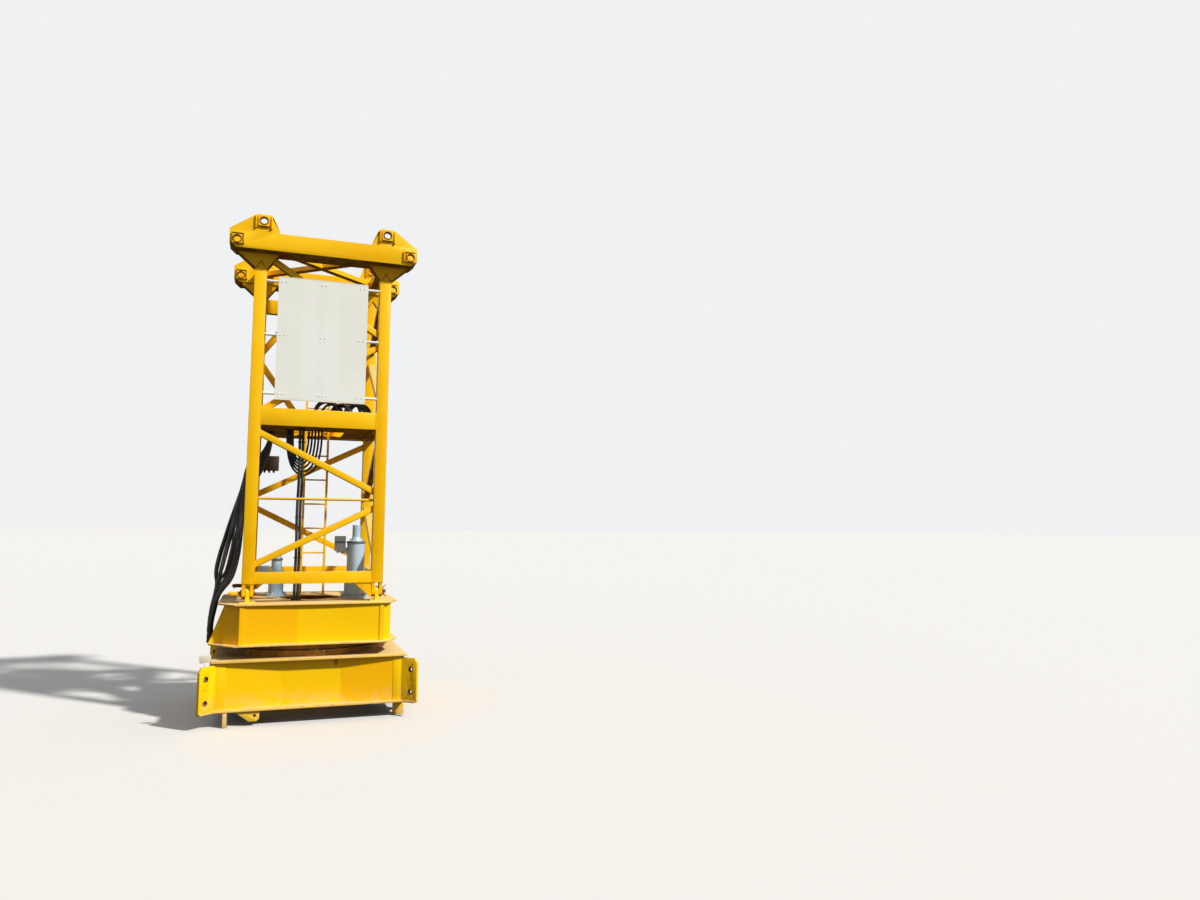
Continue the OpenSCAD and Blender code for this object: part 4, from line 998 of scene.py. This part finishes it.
# %% Collars in the corner plates
CORNER_HOLE_REACH, CORNER_HOLES = 1.38895, (0.256, 0.483)
bm = bmesh.new()
for quarter in range(4):
    angle = math.radians(45 + 90 * quarter)
    along = Vector((math.cos(angle), math.sin(angle), 0))
    across = Vector((-math.sin(angle), math.cos(angle), 0))
    for z in CORNER_HOLES:
        for side in (-1, 1):
            centre = along * CORNER_HOLE_REACH + across * side * PLATE_HALF + Vector((0, 0, z))
            add_turned(bm, CORNER_COLLAR, centre, across * side, 24)
piece(bm, "corner_collars", LOWER, rusty_finish)

# %% The ring's seal and its grease nipples
SEAL_RADIUS, SEAL_WIRE, SEAL_Z = 0.811, 0.0055, 0.7025
NIPPLE_COUNT, NIPPLE_Z, NIPPLE_NUT, NIPPLE_SINK = 12, 0.668, (0.016, 0.012), 0.002
NIPPLE_NECK, NIPPLE_END = 0.022, 0.027
bm = bmesh.new()
add_turned(bm, round_wire(SEAL_RADIUS, SEAL_WIRE), (0, 0, SEAL_Z), (0, 0, 1), 120)
piece(bm, "ring_seal", UPPER, rubber_finish)
fixed_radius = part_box("slewing_ring_fixed")[1].x
bm = bmesh.new()
for k in range(NIPPLE_COUNT):
    angle = math.radians(15 + 30 * k)
    out = Vector((math.cos(angle), math.sin(angle), 0))
    base = out * (fixed_radius - NIPPLE_SINK) + Vector((0, 0, NIPPLE_Z))
    add_bolt(bm, base, out, *NIPPLE_NUT)
    add_rod(bm, base + out * NIPPLE_NUT[1], base + out * NIPPLE_NECK, 0.0042, 8)
    add_rod(bm, base + out * NIPPLE_NECK, base + out * NIPPLE_END, 0.0055, 8, 0.003)
piece(bm, "grease_nipples", LOWER, ring_finish)

# %% [markdown]
# ## What is bolted on
#
# The drives are bolted down by their flanges and have two lifting eyes on top. Each has a terminal
# box with a screwed lid and two cable glands below. The board is clamped to its three tubes, and
# the junction box has a door with hinges, a latch and glands. These are bolts, rods and blocks
# with soft edges, set out from the place of the thing that they hold.

# %% Bolts of the drives, their eyes, and the terminal boxes' lids
FOOT_TOP, FOOT_BOLT = 1.203, (0.022, 0.015)
EYE_ANGLES, EYE_REACH, EYE_RISE, EYE_RADIUS, EYE_WIRE = (0.6, 3.74), 0.86, 0.016, 0.012, 0.0035
EYE_NUT, EYE_NUT_LOW, EYE_NUT_HIGH = 0.009, 0.018, 0.012
TERMINAL_NECK, TERMINAL = 0.024, Vector((0.110, 0.100, 0.160))
LID_OVER, LID_OUT, LID_IN, LID_EDGE = 0.003, 0.009, 0.004, 0.003
LID_SCREW, SCREW_INSET = (0.008, 0.005), 0.012
DRIVES = {
    "right": {"place": (0.458, -0.200), "foot": 0.133, "bolts": 12, "cover": COVER_RIGHT,
              "motor": 0.095, "box": 1.688, "finish": drive_right_finish},
    "left": {"place": (-0.360, 0.250), "foot": 0.098, "bolts": 8, "cover": COVER_LEFT,
             "motor": 0.056, "box": 1.350, "finish": drive_left_finish},
}


def add_cable_gland(bm, x, y, heights, radii):
    """A six-sided nut under a box, and the tapered tail of a cable gland below it."""
    top, nut, tail = heights
    add_rod(bm, (x, y, top), (x, y, nut), radii[0], 6)
    add_rod(bm, (x, y, nut), (x, y, tail), radii[1], 16, radii[2])


for side, drive in DRIVES.items():
    (x, y), motor, box_low = drive["place"], drive["motor"], drive["box"]
    bm = bmesh.new()
    for k in range(drive["bolts"]):
        angle = 2 * math.pi * (k + 0.5) / drive["bolts"]
        base = (x + drive["foot"] * math.cos(angle), y + drive["foot"] * math.sin(angle), FOOT_TOP)
        add_bolt(bm, base, (0, 0, 1), *FOOT_BOLT)
    for angle in EYE_ANGLES:
        out = Vector((math.cos(angle), math.sin(angle), 0))
        ring = Vector((x, y, drive["cover"] + EYE_RISE)) + out * motor * EYE_REACH
        add_rod(bm, ring - Vector((0, 0, EYE_NUT_LOW)), ring - Vector((0, 0, EYE_NUT_HIGH)), EYE_NUT, 12)
        add_turned(bm, round_wire(EYE_RADIUS, EYE_WIRE), ring, out, 16)
    left = x - motor - TERMINAL_NECK - TERMINAL.x
    front = y - TERMINAL.y / 2
    add_block(bm, (left - LID_OVER, front - LID_OUT, box_low - LID_OVER),
              (left + TERMINAL.x + LID_OVER, front + LID_IN, box_low + TERMINAL.z + LID_OVER), LID_EDGE)
    for i in (SCREW_INSET, TERMINAL.x - SCREW_INSET):
        for j in (SCREW_INSET, TERMINAL.z - SCREW_INSET):
            add_bolt(bm, (left + i, front - LID_OUT, box_low + j), (0, -1, 0), *LID_SCREW)
    for share in (0.3, 0.7):
        heights = [box_low - drop for drop in (0, 0.012, 0.026)]
        add_cable_gland(bm, left + TERMINAL.x * share, y, heights, (0.014, 0.011, 0.008))
    piece(bm, f"drive_fittings_{side}", UPPER, drive["finish"])

# %% Clamps and screws of the board
CLAMP_X, CLAMP_HALF, CLAMP_EDGE = (-0.402, 0.0, 0.398), Vector((0.030, 0.003, 0.014)), 0.0015
CLAMP_BOLT_X, CLAMP_BOLT = (-0.022, 0.022), (0.010, 0.006)
CLAMP_ROD, ROD_IN, ROD_OUT = 0.004, 0.003, 0.010
RAIL_BACK, RAIL_Z = -0.675, (3.3305, 3.9501, 4.5200)
board_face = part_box("sign_board")[0].y
bm = bmesh.new()
for z in RAIL_Z:
    for x in CLAMP_X:
        for dx in CLAMP_BOLT_X:
            add_bolt(bm, (x + dx, board_face, z), (0, -1, 0), *CLAMP_BOLT)
            add_rod(bm, (x + dx, board_face + ROD_IN, z), (x + dx, RAIL_BACK + ROD_OUT, z), CLAMP_ROD, 8)
        middle = Vector((x, RAIL_BACK, z))
        add_block(bm, middle - CLAMP_HALF, middle + CLAMP_HALF, CLAMP_EDGE)
piece(bm, "board_clamps", UPPER, board_finish)

# %% The junction box's door, hinges, latch and glands
DOOR_INSET, DOOR_OUT, DOOR_IN, DOOR_EDGE = 0.006, 0.012, 0.002, 0.004
HINGE_IN, HINGE_OUT, HINGE_HEIGHT, HINGE_RADIUS = 0.004, 0.006, 0.024, 0.0055
LATCH_IN, LATCH_Z, LATCH_RADIUS, LATCH_OUT = 0.03, 2.690, 0.011, 0.020
GRIP_HALF, GRIP_EDGE = Vector((0.003, 0.0025, 0.008)), 0.001
box_low, box_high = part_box("junction_box")
box_middle_y = (box_low.y + box_high.y) / 2
bm = bmesh.new()
add_block(bm, (box_low.x + DOOR_INSET, box_low.y - DOOR_OUT, box_low.z + DOOR_INSET),
          (box_high.x - DOOR_INSET, box_low.y + DOOR_IN, box_high.z - DOOR_INSET), DOOR_EDGE)
for z in (box_low.z + 0.035, box_high.z - 0.055):
    hinge = Vector((box_high.x - HINGE_IN, box_low.y - HINGE_OUT, z))
    add_rod(bm, hinge, hinge + Vector((0, 0, HINGE_HEIGHT)), HINGE_RADIUS, 10)
latch = Vector((box_low.x + LATCH_IN, box_low.y - DOOR_OUT, LATCH_Z))
latch_end = Vector((latch.x, box_low.y - LATCH_OUT, LATCH_Z))
add_rod(bm, latch, latch_end, LATCH_RADIUS, 20)
grip = latch_end - Vector((0, 0.0015, 0))
add_block(bm, grip - GRIP_HALF, grip + GRIP_HALF, GRIP_EDGE)
for k in range(3):
    heights = [box_low.z - drop for drop in (-0.001, 0.012, 0.028)]
    add_cable_gland(bm, box_low.x + 0.05 + 0.05 * k, box_middle_y, heights, (0.015, 0.012, 0.008))
piece(bm, "junction_box_door", UPPER, box_finish)

# %% [markdown]
# ## Clips, ties and the tag
#
# A wire clip keeps each foot pin in its fork, plastic ties hold the four risers together, and a
# small white tag stands on two wires on the front left corner plate. They are small, but the
# eye takes the size of the machine from them.

# %% Spring clips on the foot pins
CLIP_RADIUS, CLIP_WIRE, CLIP_DROP, CLIP_X = 0.026, 0.0022, 0.012, (-0.805, 0.712)
PIN_AXIS = sum(corner.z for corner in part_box("mast_pins")) / 2
bm = bmesh.new()
for x in CLIP_X:
    for y in (-LEG_CENTRE, LEG_CENTRE):
        add_turned(bm, round_wire(CLIP_RADIUS, CLIP_WIRE), (x, y, PIN_AXIS - CLIP_DROP), (1, 0.25, 0), 20)
piece(bm, "pin_clips", UPPER, rusty_finish)

# %% Ties on the riser
TIE_Z = (1.62, 2.05, 2.48, 2.86)
TIE_BAND = [(0.0375, -0.004), (0.0395, -0.004), (0.0395, 0.004), (0.0375, 0.004)]
TIE_HEAD, TIE_HEAD_HALF, TIE_HEAD_EDGE = 0.040, Vector((0.004, 0.005, 0.005)), 0.001
bm = bmesh.new()
for z in TIE_Z:
    add_turned(bm, TIE_BAND, (RISER_X, RISER_Y, z), (0, 0, 1), 24)
    head = Vector((RISER_X + TIE_HEAD, RISER_Y, z))
    add_block(bm, head - TIE_HEAD_HALF, head + TIE_HEAD_HALF, TIE_HEAD_EDGE)
piece(bm, "riser_ties", UPPER, plug_finish)

# %% The bare tag on its wires
TAG_CENTRE, TAG_LEAN = Vector((-0.9865, -0.985, 0.674)), -0.12
TAG_HALF = Vector((0.0535, 0.0008, 0.0345))
TAG_ROOTS = [Vector((-1.004, -1.000, 0.598)), Vector((-0.984, -0.980, 0.598))]
TAG_EDGE, TAG_WIRE, TAG_WIRE_DROP = 0.0006, 0.0030, Vector((0, 0, 0.028))
bm = bmesh.new()
add_block(bm, -TAG_HALF, TAG_HALF, TAG_EDGE)
lean = Matrix.Translation(TAG_CENTRE) @ Matrix.Rotation(TAG_LEAN, 4, "Y")
bmesh.ops.transform(bm, matrix=lean, verts=bm.verts)
for root in TAG_ROOTS:
    add_rod(bm, root, TAG_CENTRE - TAG_WIRE_DROP, TAG_WIRE, 8)
piece(bm, "bare_tag", LOWER, board_finish)

# %% [markdown]
# ## Loose wire and lap strips
#
# Nobody tidies a machine in store. Twists of rusty binding wire hang round the right foot pin and
# stick out of the gap over the ring, and the support's webs end in lap strips. A twist is a chain
# of short rods between points that wander at random, from a seed, so that each run bends the
# same wire.

# %% A twist of binding wire
WIRE, WIRE_STEPS, WIRE_BEND = 0.0022, 7, 0.6


def add_twist(bm, start, reach, seed):
    """One piece of binding wire that wanders from its start by about its reach."""
    chance = random.Random(seed)
    here, reach = Vector(start), Vector(reach)
    for _ in range(WIRE_STEPS):
        bend = Vector([chance.uniform(-1, 1) for _ in range(3)]) * WIRE_BEND
        there = here + reach / WIRE_STEPS + bend * reach.length / WIRE_STEPS
        add_rod(bm, here, there, WIRE, 6)
        here = there


# %% Twists round the right foot pin and out of the gap
PIN_TWISTS, PIN_TWIST_X, PIN_TWIST_START, PIN_TWIST_REACH = 7, 0.704, 0.03, (0.035, 0.05)
GAP_TWIST_X, GAP_TWIST_Y, GAP_TWIST_Z, GAP_SEED = (-0.03, 0.03, 0.09, 0.13), -0.845, 0.712, 20
bm = bmesh.new()
for k in range(PIN_TWISTS):
    turn = 2 * math.pi * k / PIN_TWISTS
    out = Vector((0, math.cos(turn), math.sin(turn)))
    start = Vector((PIN_TWIST_X, -LEG_CENTRE, PIN_AXIS)) + out * PIN_TWIST_START
    add_twist(bm, start, Vector((PIN_TWIST_REACH[0], 0, 0)) + out * PIN_TWIST_REACH[1], k)
for k, x in enumerate(GAP_TWIST_X):
    add_twist(bm, (x, GAP_TWIST_Y, GAP_TWIST_Z), (0.07 - 0.03 * k, -0.045, -0.022), GAP_SEED + k)
piece(bm, "binding_wire", UPPER, rusty_finish)

# %% Lap strips at the ends of the support's webs
STRIP_START, STRIP_END, STRIP_THICK, STRIP_EDGE = 0.806, 0.902, 0.004, 0.001
slope = (SUPPORT_FOLD_Y - CORNER) / (CORNER - SUPPORT_FOLD)
middle = (STRIP_START + STRIP_END) / 2
strip_y = -SUPPORT_FOLD_Y + slope * (middle - SUPPORT_FOLD) - STRIP_THICK / 2
half = Vector((STRIP_END - STRIP_START, STRIP_THICK, SUPPORT_TOP - SUPPORT_LOW)) / 2
bm = bmesh.new()
for quarter in range(4):
    for side in (-1, 1):
        place = (Matrix.Rotation(quarter * math.pi / 2, 4, "Z")
                 @ Matrix.Translation((side * middle, strip_y, (SUPPORT_TOP + SUPPORT_LOW) / 2))
                 @ Matrix.Rotation(side * math.atan(slope), 4, "Z"))
        strip = bmesh.new()
        add_block(strip, -half, half, STRIP_EDGE)
        bmesh.ops.transform(strip, matrix=place, verts=strip.verts)
        add_mesh(bm, strip)
piece(bm, "support_lap_strips", LOWER, bpy.data.materials["yellow_support_web_left"])

# %% [markdown]
# ## Floor and light
#
# The crane stands alone on a plain floor. One sun from the front right, a few degrees wide, and a
# dim even sky give the clear, slightly soft shadows of the photograph. Light Path tells a material
# which ray asks for its colour. The floor is pale only to the camera. To every other ray it is
# dark ground, because a pale one would throw light up at the undersides. The sky is almost white
# to the camera and in reflections, and dim where it lights the paint, so that a colour renders
# about as it is written.

# %% A floor that is pale to the camera
FLOOR_HALF = 400
FLOOR_SEEN, FLOOR_LIT, FLOOR_ROUGHNESS = ink(228, 227, 224), ink(72, 66, 58), 0.85
bm = bmesh.new()
bmesh.ops.create_grid(bm, x_segments=1, y_segments=1, size=FLOOR_HALF)
floor_mesh = bpy.data.meshes.new("floor")
bm.to_mesh(floor_mesh)
bm.free()
floor = bpy.data.objects.new("floor", floor_mesh)
bpy.context.scene.collection.objects.link(floor)
ground = Finish("pale_floor")
looked_at = ground.node("ShaderNodeLightPath", output=0)
floor_mesh.materials.append(ground.close(ground.mix(looked_at, FLOOR_LIT, FLOOR_SEEN), FLOOR_ROUGHNESS))

# %% The sky
SKY_SEEN, SKY_LIT, SKY_STRENGTH = ink(240, 241, 243), (0.93, 0.96, 1.0, 1.0), 0.34
world = bpy.data.worlds.new("studio")
bpy.context.scene.world = world
world.use_nodes = True
nodes, links = world.node_tree.nodes, world.node_tree.links
nodes.clear()
path = nodes.new("ShaderNodeLightPath")
seen = nodes.new("ShaderNodeBackground")
seen.inputs["Color"].default_value = SKY_SEEN
lit = nodes.new("ShaderNodeBackground")
lit.inputs["Color"].default_value = SKY_LIT
lit.inputs["Strength"].default_value = SKY_STRENGTH
either = nodes.new("ShaderNodeMath")
either.operation = "MAXIMUM"
links.new(path.outputs["Is Camera Ray"], either.inputs[0])
links.new(path.outputs["Is Glossy Ray"], either.inputs[1])
choose = nodes.new("ShaderNodeMixShader")
links.new(either.outputs[0], choose.inputs[0])
links.new(lit.outputs[0], choose.inputs[1])
links.new(seen.outputs[0], choose.inputs[2])
out = nodes.new("ShaderNodeOutputWorld")
links.new(choose.outputs[0], out.inputs["Surface"])

# %% The sun
KEY_FROM, KEY_STRENGTH, KEY_ANGLE = Vector((0.96, -1.0, 1.22)), 4.0, math.radians(3.5)
key = bpy.data.objects.new("key", bpy.data.lights.new("key", "SUN"))
bpy.context.scene.collection.objects.link(key)
key.data.energy = KEY_STRENGTH
key.data.angle = KEY_ANGLE
key.data.color = (1.0, 0.97, 0.92)
key.rotation_euler = (-KEY_FROM).to_track_quat("-Z", "Y").to_euler()
bpy.context.scene.view_settings.view_transform = "Standard"
print("sun width in degrees:", round(math.degrees(KEY_ANGLE), 1))
